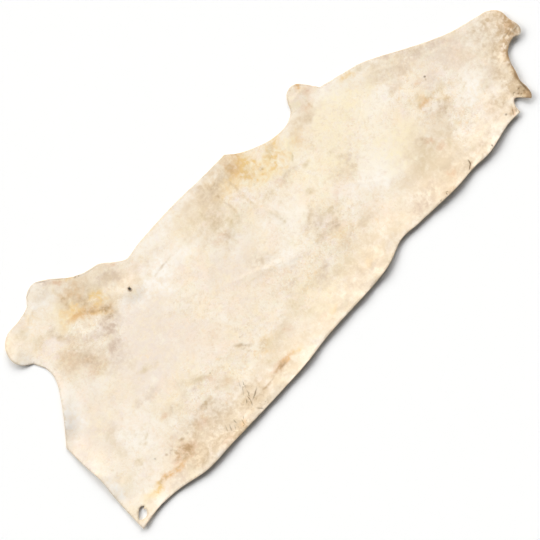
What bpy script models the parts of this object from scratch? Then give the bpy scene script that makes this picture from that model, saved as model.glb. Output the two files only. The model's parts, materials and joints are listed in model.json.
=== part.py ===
"""A side of cattle leather lying on a flat surface, grain side up, in metres with +Z up.

The hide is one cut piece, so it is one solid. +X runs along the backbone cut from the tail to
the neck, and +Y runs from the back to the belly. The tables below are in millimetres, measured
from the tail corner as a cutter measures a side on the bench. The finished sheet is centred on
the origin in plan, and its flat middle rests on z = 0.
"""

from typing import NamedTuple

import bmesh
import bpy
import numpy as np
from mathutils import Vector
from mathutils.geometry import delaunay_2d_cdt

MM = 0.001
NODE_NAME = "hide"

# Driving dimensions in millimetres.
THICKNESS = 2.4  # a levelled side of about 6 ounces
RIM_SPACING = 14.0  # between points along the cut edge
HOLE_SPACING = 6.0  # between points round the holes
FOLD_SPACING = 27.0  # between points where the sheet lifts
CREASE_SPACING = 18.0  # between points along a narrow crease
CURVE_SAMPLES = 24  # steps between two landmarks before the run is resampled

# Shares of a size, without a unit.
CREASE_ROWS = (-1.0, -0.5, 0.0, 0.5, 1.0)  # rows of points across a crease, in half widths
NARROW = 30.0  # a lift with a smaller half width, in millimetres, is a crease with its own rows
APRON = 1.25  # a lift widened by this much gets points, so that the flat part stays flat
CLEARANCE = 0.55  # least share of a spacing between a lattice point and the rim or a crease

# Settings of the triangulation.
WHOLE_HULL = 0  # triangles over the whole convex outline, each with the loops that hold it
MERGE_DISTANCE = 1e-4  # points nearer than this, in millimetres, become one

LEATHER_SRGB = (246, 231, 207)
LEATHER_ROUGHNESS = 0.62


class Landmark(NamedTuple):
    """A point on the cut edge, in millimetres from the tail corner."""

    along: float
    across: float


class Hole(NamedTuple):
    """An oval hole, in millimetres."""

    along: float
    across: float
    half_length: float
    half_width: float


class Lift(NamedTuple):
    """A place where the sheet rises from the surface, as an oval mound or a long ridge.

    Sizes are in millimetres, and turn is in degrees from the back's direction.
    """

    name: str
    along: float
    across: float
    half_length: float
    half_width: float
    turn: float
    height: float


# Each run is smooth from its first landmark to its last, and two runs meet in a corner.
EDGE_RUNS = {
    "backbone cut": (
        Landmark(0, 0),
        Landmark(40, 7),
        Landmark(110, 11),
        Landmark(200, 0),
        Landmark(320, -29),
        Landmark(450, -31),
        Landmark(700, -37),
        Landmark(860, -36),
        Landmark(985, -27),
        Landmark(1245, -27),
        Landmark(1325, -18),
        Landmark(1418, 9),
        Landmark(1500, 1),
        Landmark(1700, -15),
        Landmark(1790, -13),
        Landmark(1865, -19),
        Landmark(1990, 0),
        Landmark(2052, -2),
    ),
    "poll notch": (
        Landmark(2052, -2),
        Landmark(2058, 28),
        Landmark(2075, 45),
        Landmark(2093, 31),
        Landmark(2116, 1),
    ),
    "neck end": (
        Landmark(2116, 1),
        Landmark(2127, 10),
        Landmark(2137, 40),
        Landmark(2137, 74),
        Landmark(2150, 108),
        Landmark(2168, 155),
        Landmark(2192, 183),
        Landmark(2235, 199),
        Landmark(2262, 189),
        Landmark(2281, 208),
        Landmark(2277, 255),
        Landmark(2276, 300),
        Landmark(2250, 332),
        Landmark(2200, 350),
        Landmark(2100, 382),
        Landmark(2000, 432),
        Landmark(1800, 548),
        Landmark(1720, 575),
        Landmark(1630, 603),
    ),
    "fore shank": (
        Landmark(1630, 603),
        Landmark(1606, 642),
        Landmark(1580, 675),
        Landmark(1556, 683),
        Landmark(1530, 676),
        Landmark(1509, 650),
        Landmark(1492, 622),
        Landmark(1455, 603),
        Landmark(1415, 600),
        Landmark(1350, 613),
        Landmark(1255, 660),
        Landmark(1212, 697),
    ),
    "belly": (
        Landmark(1212, 697),
        Landmark(1100, 702),
        Landmark(950, 713),
        Landmark(760, 713),
        Landmark(690, 708),
        Landmark(652, 733),
        Landmark(610, 770),
        Landmark(550, 789),
        Landmark(500, 818),
        Landmark(438, 875),
        Landmark(392, 901),
        Landmark(350, 892),
        Landmark(315, 861),
        Landmark(260, 849),
        Landmark(190, 845),
        Landmark(150, 815),
        Landmark(134, 770),
        Landmark(145, 730),
        Landmark(178, 703),
    ),
    "thigh": (
        Landmark(178, 703),
        Landmark(196, 648),
        Landmark(185, 597),
        Landmark(115, 500),
        Landmark(70, 450),
        Landmark(30, 408),
    ),
    "butt": (
        Landmark(30, 408),
        Landmark(26, 320),
        Landmark(27, 230),
        Landmark(13, 150),
        Landmark(5, 70),
        Landmark(0, 0),
    ),
}

# The torn hole by the tail corner starts and ends in its pointed end.
TAIL_HOLE = (
    Landmark(12, 35),
    Landmark(24, 26),
    Landmark(42, 24),
    Landmark(55, 34),
    Landmark(59, 43),
    Landmark(53, 49),
    Landmark(63, 54),
    Landmark(52, 62),
    Landmark(30, 53),
    Landmark(12, 35),
)

GRUB_HOLE = Hole(617, 625, 4.0, 6.5)
GRUB_HOLE_POINTS = 10

LIFTS = (
    Lift("tail corner", -5, -50, 190, 190, 20, 14),
    Lift("back edge at the rump", 320, -162, 380, 300, -4, 19.5),
    Lift("back edge at the loin", 690, -170, 380, 300, 0, 20.5),
    Lift("back edge at the ribs", 1060, -162, 380, 300, 0, 20),
    Lift("back edge at the withers", 1420, -138, 370, 300, -2, 19.5),
    Lift("back edge at the shoulder", 1760, -148, 350, 300, 0, 19.5),
    Lift("back edge at the neck", 2060, -108, 300, 260, 3, 17),
    Lift("butt edge", 5, 250, 130, 230, 0, 14),
    Lift("thigh edge", 80, 525, 110, 175, -38, 14),
    Lift("hind shank end", 375, 925, 200, 140, -8, 4),
    Lift("hind shank heel", 110, 790, 115, 125, 0, 15),
    Lift("hind shank bend", 560, 800, 150, 110, -25, 2),
    Lift("flank edge", 760, 725, 150, 110, 0, 1),
    Lift("belly edge", 1010, 720, 170, 120, 0, 1),
    Lift("elbow", 1210, 705, 130, 110, -18, 2),
    Lift("brisket edge", 1400, 590, 130, 90, -8, 1),
    Lift("fore shank tab", 1550, 705, 110, 120, 0, 5),
    Lift("throat edge", 1780, 570, 190, 110, -25, 1.5),
    Lift("jaw edge", 2050, 415, 190, 100, -28, 1.5),
    Lift("neck tab", 2305, 235, 145, 140, 0, 14),
    Lift("neck notch rim", 2200, 118, 135, 105, 62, 17),
    Lift("poll point", 2130, 10, 80, 90, 0, 3),
    Lift("flank bag", 1010, 545, 210, 140, 15, 2.5),
    Lift("thigh bag", 330, 590, 200, 140, 40, 2.5),
    Lift("shoulder bag", 1290, 300, 190, 120, 60, 2),
    Lift("neck bag", 1830, 300, 200, 120, 70, 2),
    Lift("grub hole", 617, 625, 70, 60, 0, 4),
    Lift("loin wrinkle", 1015, 298, 190, 24, -26, 0.8),
    Lift("belly wrinkle", 1145, 497, 150, 22, -73, 0.6),
)


def heights(points: np.ndarray) -> np.ndarray:
    """Return how far the sheet's underside stands off the surface, in millimetres.

    Each lift adds height * (1 - r^2)^2, where r is the distance from its middle in half
    lengths and half widths, and nothing beyond r = 1.
    """
    total = np.zeros(len(points))
    for lift in LIFTS:
        reach = np.minimum(lift_radius(lift, points), 1.0)
        total += lift.height * (1.0 - reach**2) ** 2
    return total


def lift_radius(lift: Lift, points: np.ndarray) -> np.ndarray:
    """Return each point's distance from a lift's middle, 1 on the lift's oval outline."""
    turn = np.radians(lift.turn)
    offset = points - (lift.along, lift.across)
    lengthwise = offset @ (np.cos(turn), np.sin(turn)) / lift.half_length
    crosswise = offset @ (-np.sin(turn), np.cos(turn)) / lift.half_width
    return np.hypot(lengthwise, crosswise)


def smooth_run(landmarks: tuple, spacing: float) -> np.ndarray:
    """Return evenly spaced points along a smooth curve through the landmarks, without the last.

    The curve is a centripetal Catmull-Rom spline, which passes through every landmark and
    makes no loops where they are unevenly spaced.
    """
    through = np.array(landmarks, dtype=float)
    steps = np.diff(through, axis=0)
    gaps = np.sqrt(np.hypot(steps[:, 0], steps[:, 1]))[:, None]
    slopes = steps / gaps
    inner = (
        slopes[:-1] + slopes[1:] - (steps[:-1] + steps[1:]) / (gaps[:-1] + gaps[1:])
    )
    tangents = np.vstack((slopes[:1], inner, slopes[-1:]))

    share = np.linspace(0.0, 1.0, CURVE_SAMPLES, endpoint=False)[None, :, None]
    start, end = through[:-1, None, :], through[1:, None, :]
    leave, arrive = (gaps * tangents[:-1])[:, None, :], (gaps * tangents[1:])[:, None, :]
    curve = (
        start * (2 * share**3 - 3 * share**2 + 1)
        + leave * (share**3 - 2 * share**2 + share)
        + end * (3 * share**2 - 2 * share**3)
        + arrive * (share**3 - share**2)
    )
    curve = np.vstack((curve.reshape(-1, 2), through[-1:]))

    lengths = np.hypot(*np.diff(curve, axis=0).T)
    distance = np.concatenate(([0.0], np.cumsum(lengths)))
    count = max(2, round(distance[-1] / spacing))
    stops = np.linspace(0.0, distance[-1], count, endpoint=False)
    return np.column_stack([np.interp(stops, distance, curve[:, axis]) for axis in (0, 1)])


def cut_edge() -> np.ndarray:
    """Return the points of the hide's outline, in millimetres from the tail corner."""
    return np.vstack([smooth_run(run, RIM_SPACING) for run in EDGE_RUNS.values()])


def grub_hole() -> np.ndarray:
    """Return the points round the small oval hole."""
    angle = np.linspace(0.0, 2.0 * np.pi, GRUB_HOLE_POINTS, endpoint=False)
    return np.column_stack(
        (
            GRUB_HOLE.along + GRUB_HOLE.half_length * np.cos(angle),
            GRUB_HOLE.across + GRUB_HOLE.half_width * np.sin(angle),
        )
    )


def inside(points: np.ndarray, loop: np.ndarray) -> np.ndarray:
    """Return which points a closed loop holds, by counting the edges to the right of each."""
    first, second = loop, np.roll(loop, -1, axis=0)
    x, y = points[:, :1], points[:, 1:]
    straddles = (first[:, 1] > y) != (second[:, 1] > y)
    rise = np.where(second[:, 1] == first[:, 1], 1.0, second[:, 1] - first[:, 1])
    crossing = first[:, 0] + (y - first[:, 1]) * (second[:, 0] - first[:, 0]) / rise
    return np.count_nonzero(straddles & (x < crossing), axis=1) % 2 == 1


def clear_of(points: np.ndarray, others: np.ndarray, distance: float) -> np.ndarray:
    """Return which points lie further than a distance from every other point."""
    gaps = np.hypot(
        points[:, :1] - others[:, 0],
        points[:, 1:] - others[:, 1],
    )
    return gaps.min(axis=1) > distance


def crease_points() -> np.ndarray:
    """Return rows of points along the narrow creases, so that each keeps its sharp shape."""
    rows = []
    for lift in LIFTS:
        if lift.half_width > NARROW:
            continue
        turn = np.radians(lift.turn)
        count = round(2.0 * lift.half_length / CREASE_SPACING)
        lengthwise = np.linspace(-lift.half_length, lift.half_length, count)
        for row in CREASE_ROWS:
            crosswise = row * lift.half_width
            rows.append(
                np.column_stack(
                    (
                        lift.along + lengthwise * np.cos(turn) - crosswise * np.sin(turn),
                        lift.across + lengthwise * np.sin(turn) + crosswise * np.cos(turn),
                    )
                )
            )
    return np.vstack(rows)


def fold_lattice(edge: np.ndarray, fixed: np.ndarray) -> np.ndarray:
    """Return a staggered lattice of points where the sheet lifts, and none where it lies flat.

    Args:
        edge: the hide's outline.
        fixed: every point that is placed already, which the lattice keeps clear of.
    """
    low, high = edge.min(axis=0), edge.max(axis=0)
    row_height = FOLD_SPACING * np.sqrt(3.0) / 2.0
    rows = np.arange(low[1], high[1], row_height)
    columns = np.arange(low[0], high[0], FOLD_SPACING)
    along, across = np.meshgrid(columns, rows)
    along[1::2] += FOLD_SPACING / 2.0
    lattice = np.column_stack((along.ravel(), across.ravel()))

    near_lift = np.zeros(len(lattice), dtype=bool)
    for lift in LIFTS:
        near_lift |= lift_radius(lift, lattice) < APRON
    lattice = lattice[near_lift]
    lattice = lattice[inside(lattice, edge)]
    return lattice[clear_of(lattice, fixed, CLEARANCE * FOLD_SPACING)]


def remove_loose_points(mesh: bpy.types.Mesh) -> None:
    """Delete the points inside the holes and bays, which no triangle uses."""
    work = bmesh.new()
    work.from_mesh(mesh)
    loose = [vertex for vertex in work.verts if not vertex.link_faces]
    bmesh.ops.delete(work, geom=loose, context="VERTS")
    work.to_mesh(mesh)
    work.free()


def sheet_mesh() -> bpy.types.Mesh:
    """Return the underside of the hide as a triangle mesh, cut to its outline and holes."""
    edge = cut_edge()
    loops = (edge, smooth_run(TAIL_HOLE, HOLE_SPACING), grub_hole())
    rims = np.vstack(loops)
    creases = crease_points()
    creases = creases[inside(creases, edge)]
    lattice = fold_lattice(edge, np.vstack((rims, creases)))
    points = np.vstack((rims, creases, lattice))

    rim_faces = []
    first = 0
    for loop in loops:
        rim_faces.append(list(range(first, first + len(loop))))
        first += len(loop)
    flat, _, triangles, _, _, sources = delaunay_2d_cdt(
        [Vector(point) for point in points.tolist()], [], rim_faces, WHOLE_HULL, MERGE_DISTANCE, True
    )
    only_leather = [0]
    kept = [face for face, source in zip(triangles, sources) if source == only_leather]
    flat = np.array([tuple(point) for point in flat])
    centre = (edge.min(axis=0) + edge.max(axis=0)) / 2.0
    vertices = np.column_stack((flat - centre, heights(flat))) * MM
    mesh = bpy.data.meshes.new(NODE_NAME)
    mesh.from_pydata(vertices.tolist(), [], kept)
    remove_loose_points(mesh)
    return mesh


def linear_colour(srgb: tuple) -> tuple:
    """Return a colour of 0 to 255 as linear values of 0 to 1, with a full alpha."""
    share = np.array(srgb) / 255.0
    return tuple(np.where(share <= 0.04045, share / 12.92, ((share + 0.055) / 1.055) ** 2.4)) + (1.0,)


def leather() -> bpy.types.Material:
    """Return the material of pale undyed leather."""
    material = bpy.data.materials.new("undyed_leather")
    material.use_nodes = True
    shader = material.node_tree.nodes["Principled BSDF"]
    shader.inputs["Base Color"].default_value = linear_colour(LEATHER_SRGB)
    shader.inputs["Roughness"].default_value = LEATHER_ROUGHNESS
    shader.inputs["Metallic"].default_value = 0.0
    return material


def build_hide() -> bpy.types.Object:
    """Add the hide to the scene: its underside, thickened upwards to the leather's thickness."""
    mesh = sheet_mesh()
    mesh.materials.append(leather())
    hide = bpy.data.objects.new(NODE_NAME, mesh)
    bpy.context.collection.objects.link(hide)
    wall = hide.modifiers.new("leather thickness", "SOLIDIFY")
    wall.thickness = THICKNESS * MM
    wall.offset = 1.0
    wall.use_even_offset = True
    return hide


def main() -> None:
    """Empty the scene and build the hide in it."""
    for old in list(bpy.data.objects):
        bpy.data.objects.remove(old, do_unlink=True)
    build_hide()


main()
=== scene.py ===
"""A side of undyed cattle leather lying grain side up on a pale floor, in soft studio light.

The hide is one cut sheet, so it is one piece. Its tables are in millimetres, measured from the
tail corner as a cutter measures a side on the bench: along runs from the tail to the neck, and
across from the back to the belly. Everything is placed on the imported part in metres.
"""

from __future__ import annotations

import json
import logging
import math
from dataclasses import dataclass
from enum import Enum
from typing import NamedTuple

import bpy
import numpy as np
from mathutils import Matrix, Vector
from mathutils.geometry import delaunay_2d_cdt

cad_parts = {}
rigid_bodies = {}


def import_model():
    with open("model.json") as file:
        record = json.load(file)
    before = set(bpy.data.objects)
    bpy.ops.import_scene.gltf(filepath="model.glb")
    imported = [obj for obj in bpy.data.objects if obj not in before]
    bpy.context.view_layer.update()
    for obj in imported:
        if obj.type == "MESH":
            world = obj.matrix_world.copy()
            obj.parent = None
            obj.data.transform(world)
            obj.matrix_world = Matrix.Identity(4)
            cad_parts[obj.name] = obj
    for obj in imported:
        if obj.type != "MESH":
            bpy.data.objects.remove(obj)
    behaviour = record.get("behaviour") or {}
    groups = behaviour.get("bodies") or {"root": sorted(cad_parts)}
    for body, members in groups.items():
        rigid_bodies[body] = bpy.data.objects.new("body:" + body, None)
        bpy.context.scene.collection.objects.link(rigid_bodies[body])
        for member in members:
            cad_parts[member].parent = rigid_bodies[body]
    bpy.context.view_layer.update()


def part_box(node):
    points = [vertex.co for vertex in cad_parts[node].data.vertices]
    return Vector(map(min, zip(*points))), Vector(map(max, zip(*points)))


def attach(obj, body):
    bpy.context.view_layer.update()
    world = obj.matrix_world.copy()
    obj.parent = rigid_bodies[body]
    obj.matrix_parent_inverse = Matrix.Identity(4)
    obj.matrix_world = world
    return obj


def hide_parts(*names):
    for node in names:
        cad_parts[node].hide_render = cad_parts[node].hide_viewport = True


LOG = logging.getLogger("hide")

MM = 0.001
CAD_NODE = "hide"
CAD_BODY = "root"
RIM_MASK = "rim"
LEATHER_IOR = 1.5

Socket = bpy.types.NodeSocket


class Landmark(NamedTuple):
    """A point of an outline, in millimetres from the tail corner."""

    along: float
    across: float


class Hole(NamedTuple):
    """An oval hole, in millimetres."""

    along: float
    across: float
    half_length: float
    half_width: float


class Lift(NamedTuple):
    """A place where the sheet rises from the floor, as an oval mound or a long ridge.

    Sizes are in millimetres, and turn is in degrees from the back's direction.
    """

    name: str
    along: float
    across: float
    half_length: float
    half_width: float
    turn: float
    height: float


class Crease(NamedTuple):
    """A soft line pressed into the sheet, a ridge if its height is above 0 and else a trough.

    It bends away from the straight line between its ends by bow. All sizes are in millimetres.
    """

    start: Landmark
    end: Landmark
    bow: float
    half_width: float
    height: float


class ToneLook(NamedTuple):
    """A tone's colour, and how far the fine pattern breaks it up, from 0 to 1."""

    colour: str
    breakup: float


class Tone(Enum):
    """A colour that the grain face takes on in places, from the palest to the darkest."""

    # PALE also serves as painted light on the slopes of lifted rims, and DARK as painted shadow at
    # the grub hole, the neck notch and the shank's top edge; TAN and SMOKE are in part painted
    # shade along the lifted back edge.
    PALE = ToneLook("#FCF5EA", 0.8)
    PEACH = ToneLook("#FAE3CD", 0.8)
    COOL = ToneLook("#EEDFD2", 0.9)
    YELLOW = ToneLook("#F9EBC9", 0.8)
    TAN = ToneLook("#E6D2B4", 0.7)
    GOLD = ToneLook("#EECD90", 1.0)
    OLIVE = ToneLook("#D9C49D", 1.0)
    SLATE = ToneLook("#D5BFAA", 1.0)
    SMOKE = ToneLook("#D1B998", 0.85)
    RUST = ToneLook("#DDB48D", 1.0)
    ORANGE = ToneLook("#E0B681", 0.9)
    BROWN = ToneLook("#B99972", 0.9)
    DARK = ToneLook("#6F5536", 0.3)


class Grain(Enum):
    """A trait of the grain face that isn't a colour of its own."""

    FLECKS = "flecks"
    MOTTLES = "mottles"
    WRINKLES = "wrinkles"


class Seed(Enum):
    """The seeds of the sheet's own noises."""

    KNIFE = 5
    RIMS = 11
    FINE_RIMS = 12
    SWELLS = 21
    MIDDLE_SWELLS = 22
    FINE_SWELLS = 23
    CREASE_WAVER = 24
    CREASE_DEPTH = 25
    MARKS_ALONG = 31
    MARKS_ACROSS = 32
    FINE_MARKS_ALONG = 33
    FINE_MARKS_ACROSS = 34


class Drift(NamedTuple):
    """A colour that the whole grain face drifts to in soft patches.

    Size is the patches' size in millimetres. They begin where their noise passes start, are
    full where it passes full, and take on the colour by share there.
    """

    size: float
    colour: str
    start: float
    full: float
    share: float


class Mark(NamedTuple):
    """A place that takes on a tone or a trait, as a soft uneven oval.

    Sizes are in millimetres, turn is in degrees from the back's direction, and strength is the
    tone's share in the middle.
    """

    kind: Tone | Grain
    along: float
    across: float
    half_length: float
    half_width: float
    turn: float
    strength: float


# Each run is smooth from its first landmark to its last, and two runs meet in a corner.
EDGE_RUNS = {
    "backbone cut": (
        Landmark(0, 0),
        Landmark(40, 7),
        Landmark(110, 11),
        Landmark(200, 0),
        Landmark(320, -29),
        Landmark(450, -31),
        Landmark(700, -37),
        Landmark(860, -36),
        Landmark(985, -27),
        Landmark(1245, -27),
        Landmark(1325, -18),
        Landmark(1418, 9),
        Landmark(1500, 1),
        Landmark(1700, -15),
        Landmark(1790, -13),
        Landmark(1865, -19),
        Landmark(1990, 0),
        Landmark(2052, -2),
    ),
    "poll notch": (
        Landmark(2052, -2),
        Landmark(2058, 28),
        Landmark(2075, 45),
        Landmark(2093, 31),
        Landmark(2116, 1),
    ),
    "neck end": (
        Landmark(2116, 1),
        Landmark(2127, 10),
        Landmark(2137, 40),
        Landmark(2137, 74),
        Landmark(2150, 108),
        Landmark(2168, 155),
        Landmark(2192, 183),
        Landmark(2235, 199),
        Landmark(2262, 189),
        Landmark(2281, 208),
        Landmark(2277, 255),
        Landmark(2276, 300),
        Landmark(2250, 332),
        Landmark(2200, 350),
        Landmark(2100, 382),
        Landmark(2000, 432),
        Landmark(1800, 548),
        Landmark(1720, 575),
        Landmark(1630, 603),
    ),
    "fore shank": (
        Landmark(1630, 603),
        Landmark(1606, 642),
        Landmark(1580, 675),
        Landmark(1556, 683),
        Landmark(1530, 676),
        Landmark(1509, 650),
        Landmark(1492, 622),
        Landmark(1455, 603),
        Landmark(1415, 600),
        Landmark(1350, 613),
        Landmark(1255, 660),
        Landmark(1212, 697),
    ),
    "belly": (
        Landmark(1212, 697),
        Landmark(1100, 702),
        Landmark(950, 713),
        Landmark(760, 713),
        Landmark(690, 708),
        Landmark(652, 733),
        Landmark(610, 770),
        Landmark(550, 789),
        Landmark(500, 818),
        Landmark(438, 875),
        Landmark(392, 901),
        Landmark(350, 892),
        Landmark(315, 861),
        Landmark(260, 849),
        Landmark(190, 845),
        Landmark(150, 815),
        Landmark(134, 770),
        Landmark(145, 730),
        Landmark(178, 703),
    ),
    "thigh": (
        Landmark(178, 703),
        Landmark(196, 648),
        Landmark(185, 597),
        Landmark(115, 500),
        Landmark(70, 450),
        Landmark(30, 408),
    ),
    "butt": (
        Landmark(30, 408),
        Landmark(26, 320),
        Landmark(27, 230),
        Landmark(13, 150),
        Landmark(5, 70),
        Landmark(0, 0),
    ),
}

# The torn hole by the tail corner starts and ends in its pointed end.
TAIL_HOLE = (
    Landmark(12, 35),
    Landmark(24, 26),
    Landmark(42, 24),
    Landmark(55, 34),
    Landmark(59, 43),
    Landmark(53, 49),
    Landmark(63, 54),
    Landmark(52, 62),
    Landmark(30, 53),
    Landmark(12, 35),
)

GRUB_HOLE = Hole(617, 625, 4.0, 6.5)

LIFTS = (
    Lift("tail corner", -5, -50, 190, 190, 20, 14),
    Lift("back edge at the rump", 320, -162, 380, 300, -4, 19.5),
    Lift("back edge at the loin", 690, -170, 380, 300, 0, 20.5),
    Lift("back edge at the ribs", 1060, -162, 380, 300, 0, 20),
    Lift("back edge at the withers", 1420, -138, 370, 300, -2, 19.5),
    Lift("back edge at the shoulder", 1760, -148, 350, 300, 0, 19.5),
    Lift("back edge at the neck", 2060, -108, 300, 260, 3, 17),
    Lift("butt edge", 5, 250, 130, 230, 0, 14),
    Lift("thigh edge", 80, 525, 110, 175, -38, 14),
    Lift("hind shank end", 375, 925, 200, 140, -8, 4),
    Lift("hind shank heel", 110, 790, 115, 125, 0, 15),
    Lift("hind shank bend", 560, 800, 150, 110, -25, 2),
    Lift("flank edge", 760, 725, 150, 110, 0, 1),
    Lift("belly edge", 1010, 720, 170, 120, 0, 1),
    Lift("elbow", 1210, 705, 130, 110, -18, 2),
    Lift("brisket edge", 1400, 590, 130, 90, -8, 1),
    Lift("fore shank tab", 1550, 705, 110, 120, 0, 5),
    Lift("throat edge", 1780, 570, 190, 110, -25, 1.5),
    Lift("jaw edge", 2050, 415, 190, 100, -28, 1.5),
    Lift("neck tab", 2305, 235, 145, 140, 0, 14),
    Lift("neck notch rim", 2200, 118, 135, 105, 62, 17),
    Lift("poll point", 2130, 10, 80, 90, 0, 3),
    Lift("flank bag", 1010, 545, 210, 140, 15, 2.5),
    Lift("thigh bag", 330, 590, 200, 140, 40, 2.5),
    Lift("shoulder bag", 1290, 300, 190, 120, 60, 2),
    Lift("neck bag", 1830, 300, 200, 120, 70, 2),
    Lift("grub hole", 617, 625, 70, 60, 0, 4),
    Lift("loin wrinkle", 1015, 298, 190, 24, -26, 0.8),
    Lift("belly wrinkle", 1145, 497, 150, 22, -73, 0.6),
)

CREASES = {
    "loin drag line": Crease(Landmark(868, 372), Landmark(1030, 290), 5, 9, 0.26),
    "loin drag line's second half": Crease(Landmark(1040, 285), Landmark(1165, 224), -4, 10, 0.30),
    "trough under the drag line": Crease(Landmark(1018, 286), Landmark(1096, 256), 3, 6, -0.39),
    "short line over the loin": Crease(Landmark(905, 330), Landmark(985, 300), 3, 6, 0.28),
    "belly drag line": Crease(Landmark(1104, 626), Landmark(1148, 500), -6, 8, 0.24),
    "belly drag line's lower half": Crease(Landmark(1152, 488), Landmark(1186, 368), 5, 9, 0.28),
    "first neck wrinkle": Crease(Landmark(1768, 8), Landmark(1776, 172), 7, 5, 0.25),
    "second neck wrinkle": Crease(Landmark(1783, 22), Landmark(1786, 150), -5, 5, 0.28),
    "third neck wrinkle": Crease(Landmark(1799, 6), Landmark(1806, 186), 4, 5, 0.28),
    "fourth neck wrinkle": Crease(Landmark(1818, 30), Landmark(1812, 140), -4, 4, 0.19),
    "shoulder line": Crease(Landmark(1710, 476), Landmark(1624, 409), 5, 6, -0.39),
    "short shoulder tick": Crease(Landmark(1703, 369), Landmark(1747, 386), 2, 4, -0.33),
    "rump line": Crease(Landmark(518, 389), Landmark(471, 247), 6, 7, 0.33),
    "rump line's branch": Crease(Landmark(498, 300), Landmark(440, 236), -4, 6, 0.22),
    "fold inside the neck notch": Crease(Landmark(2128, 66), Landmark(2172, 178), 6, 8, 0.55),
    "fold under the neck tab": Crease(Landmark(2176, 190), Landmark(2252, 226), 5, 7, 0.50),
    "upper wrinkle of the neck tab": Crease(Landmark(2212, 222), Landmark(2266, 232), -3, 4, -0.44),
    "lower wrinkle of the neck tab": Crease(Landmark(2226, 208), Landmark(2270, 214), 3, 4, -0.44),
    "cross wrinkle of the neck tab": Crease(Landmark(2246, 256), Landmark(2272, 236), 2, 4, -0.39),
    "hock fold": Crease(Landmark(425, 706), Landmark(516, 638), 5, 8, -0.44),
    "hock ridge": Crease(Landmark(440, 724), Landmark(540, 664), 5, 9, 0.44),
    "heel line": Crease(Landmark(288, 724), Landmark(334, 676), -4, 7, -0.33),
    "shank end line": Crease(Landmark(250, 806), Landmark(350, 846), 7, 9, 0.39),
    "first flank line": Crease(Landmark(700, 604), Landmark(806, 588), 4, 5, 0.19),
    "second flank line": Crease(Landmark(722, 622), Landmark(820, 612), -3, 5, 0.17),
    "armpit trough": Crease(Landmark(1306, 552), Landmark(1354, 606), -5, 9, -0.55),
    "armpit ridge": Crease(Landmark(1366, 508), Landmark(1408, 566), 4, 10, 0.61),
    "brisket line": Crease(Landmark(1420, 520), Landmark(1474, 560), 4, 6, -0.28),
    "first fore shank fold": Crease(Landmark(1516, 640), Landmark(1604, 632), 8, 9, 0.50),
    "second fore shank fold": Crease(Landmark(1560, 676), Landmark(1592, 648), 3, 5, -0.44),
    "throat line": Crease(Landmark(1742, 520), Landmark(1880, 446), 7, 9, 0.33),
    "jaw line": Crease(Landmark(1960, 404), Landmark(2120, 330), -6, 9, 0.33),
    "crest wrinkle": Crease(Landmark(1955, 120), Landmark(2070, 96), 6, 7, 0.28),
    "poll crease": Crease(Landmark(2066, 60), Landmark(2122, 72), -5, 6, -0.33),
    "rib line": Crease(Landmark(1215, 318), Landmark(1302, 214), 7, 8, 0.28),
    "wither line": Crease(Landmark(1430, 300), Landmark(1560, 190), -8, 10, 0.28),
    "croup line": Crease(Landmark(700, 208), Landmark(770, 150), 4, 7, -0.5),
}

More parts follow.
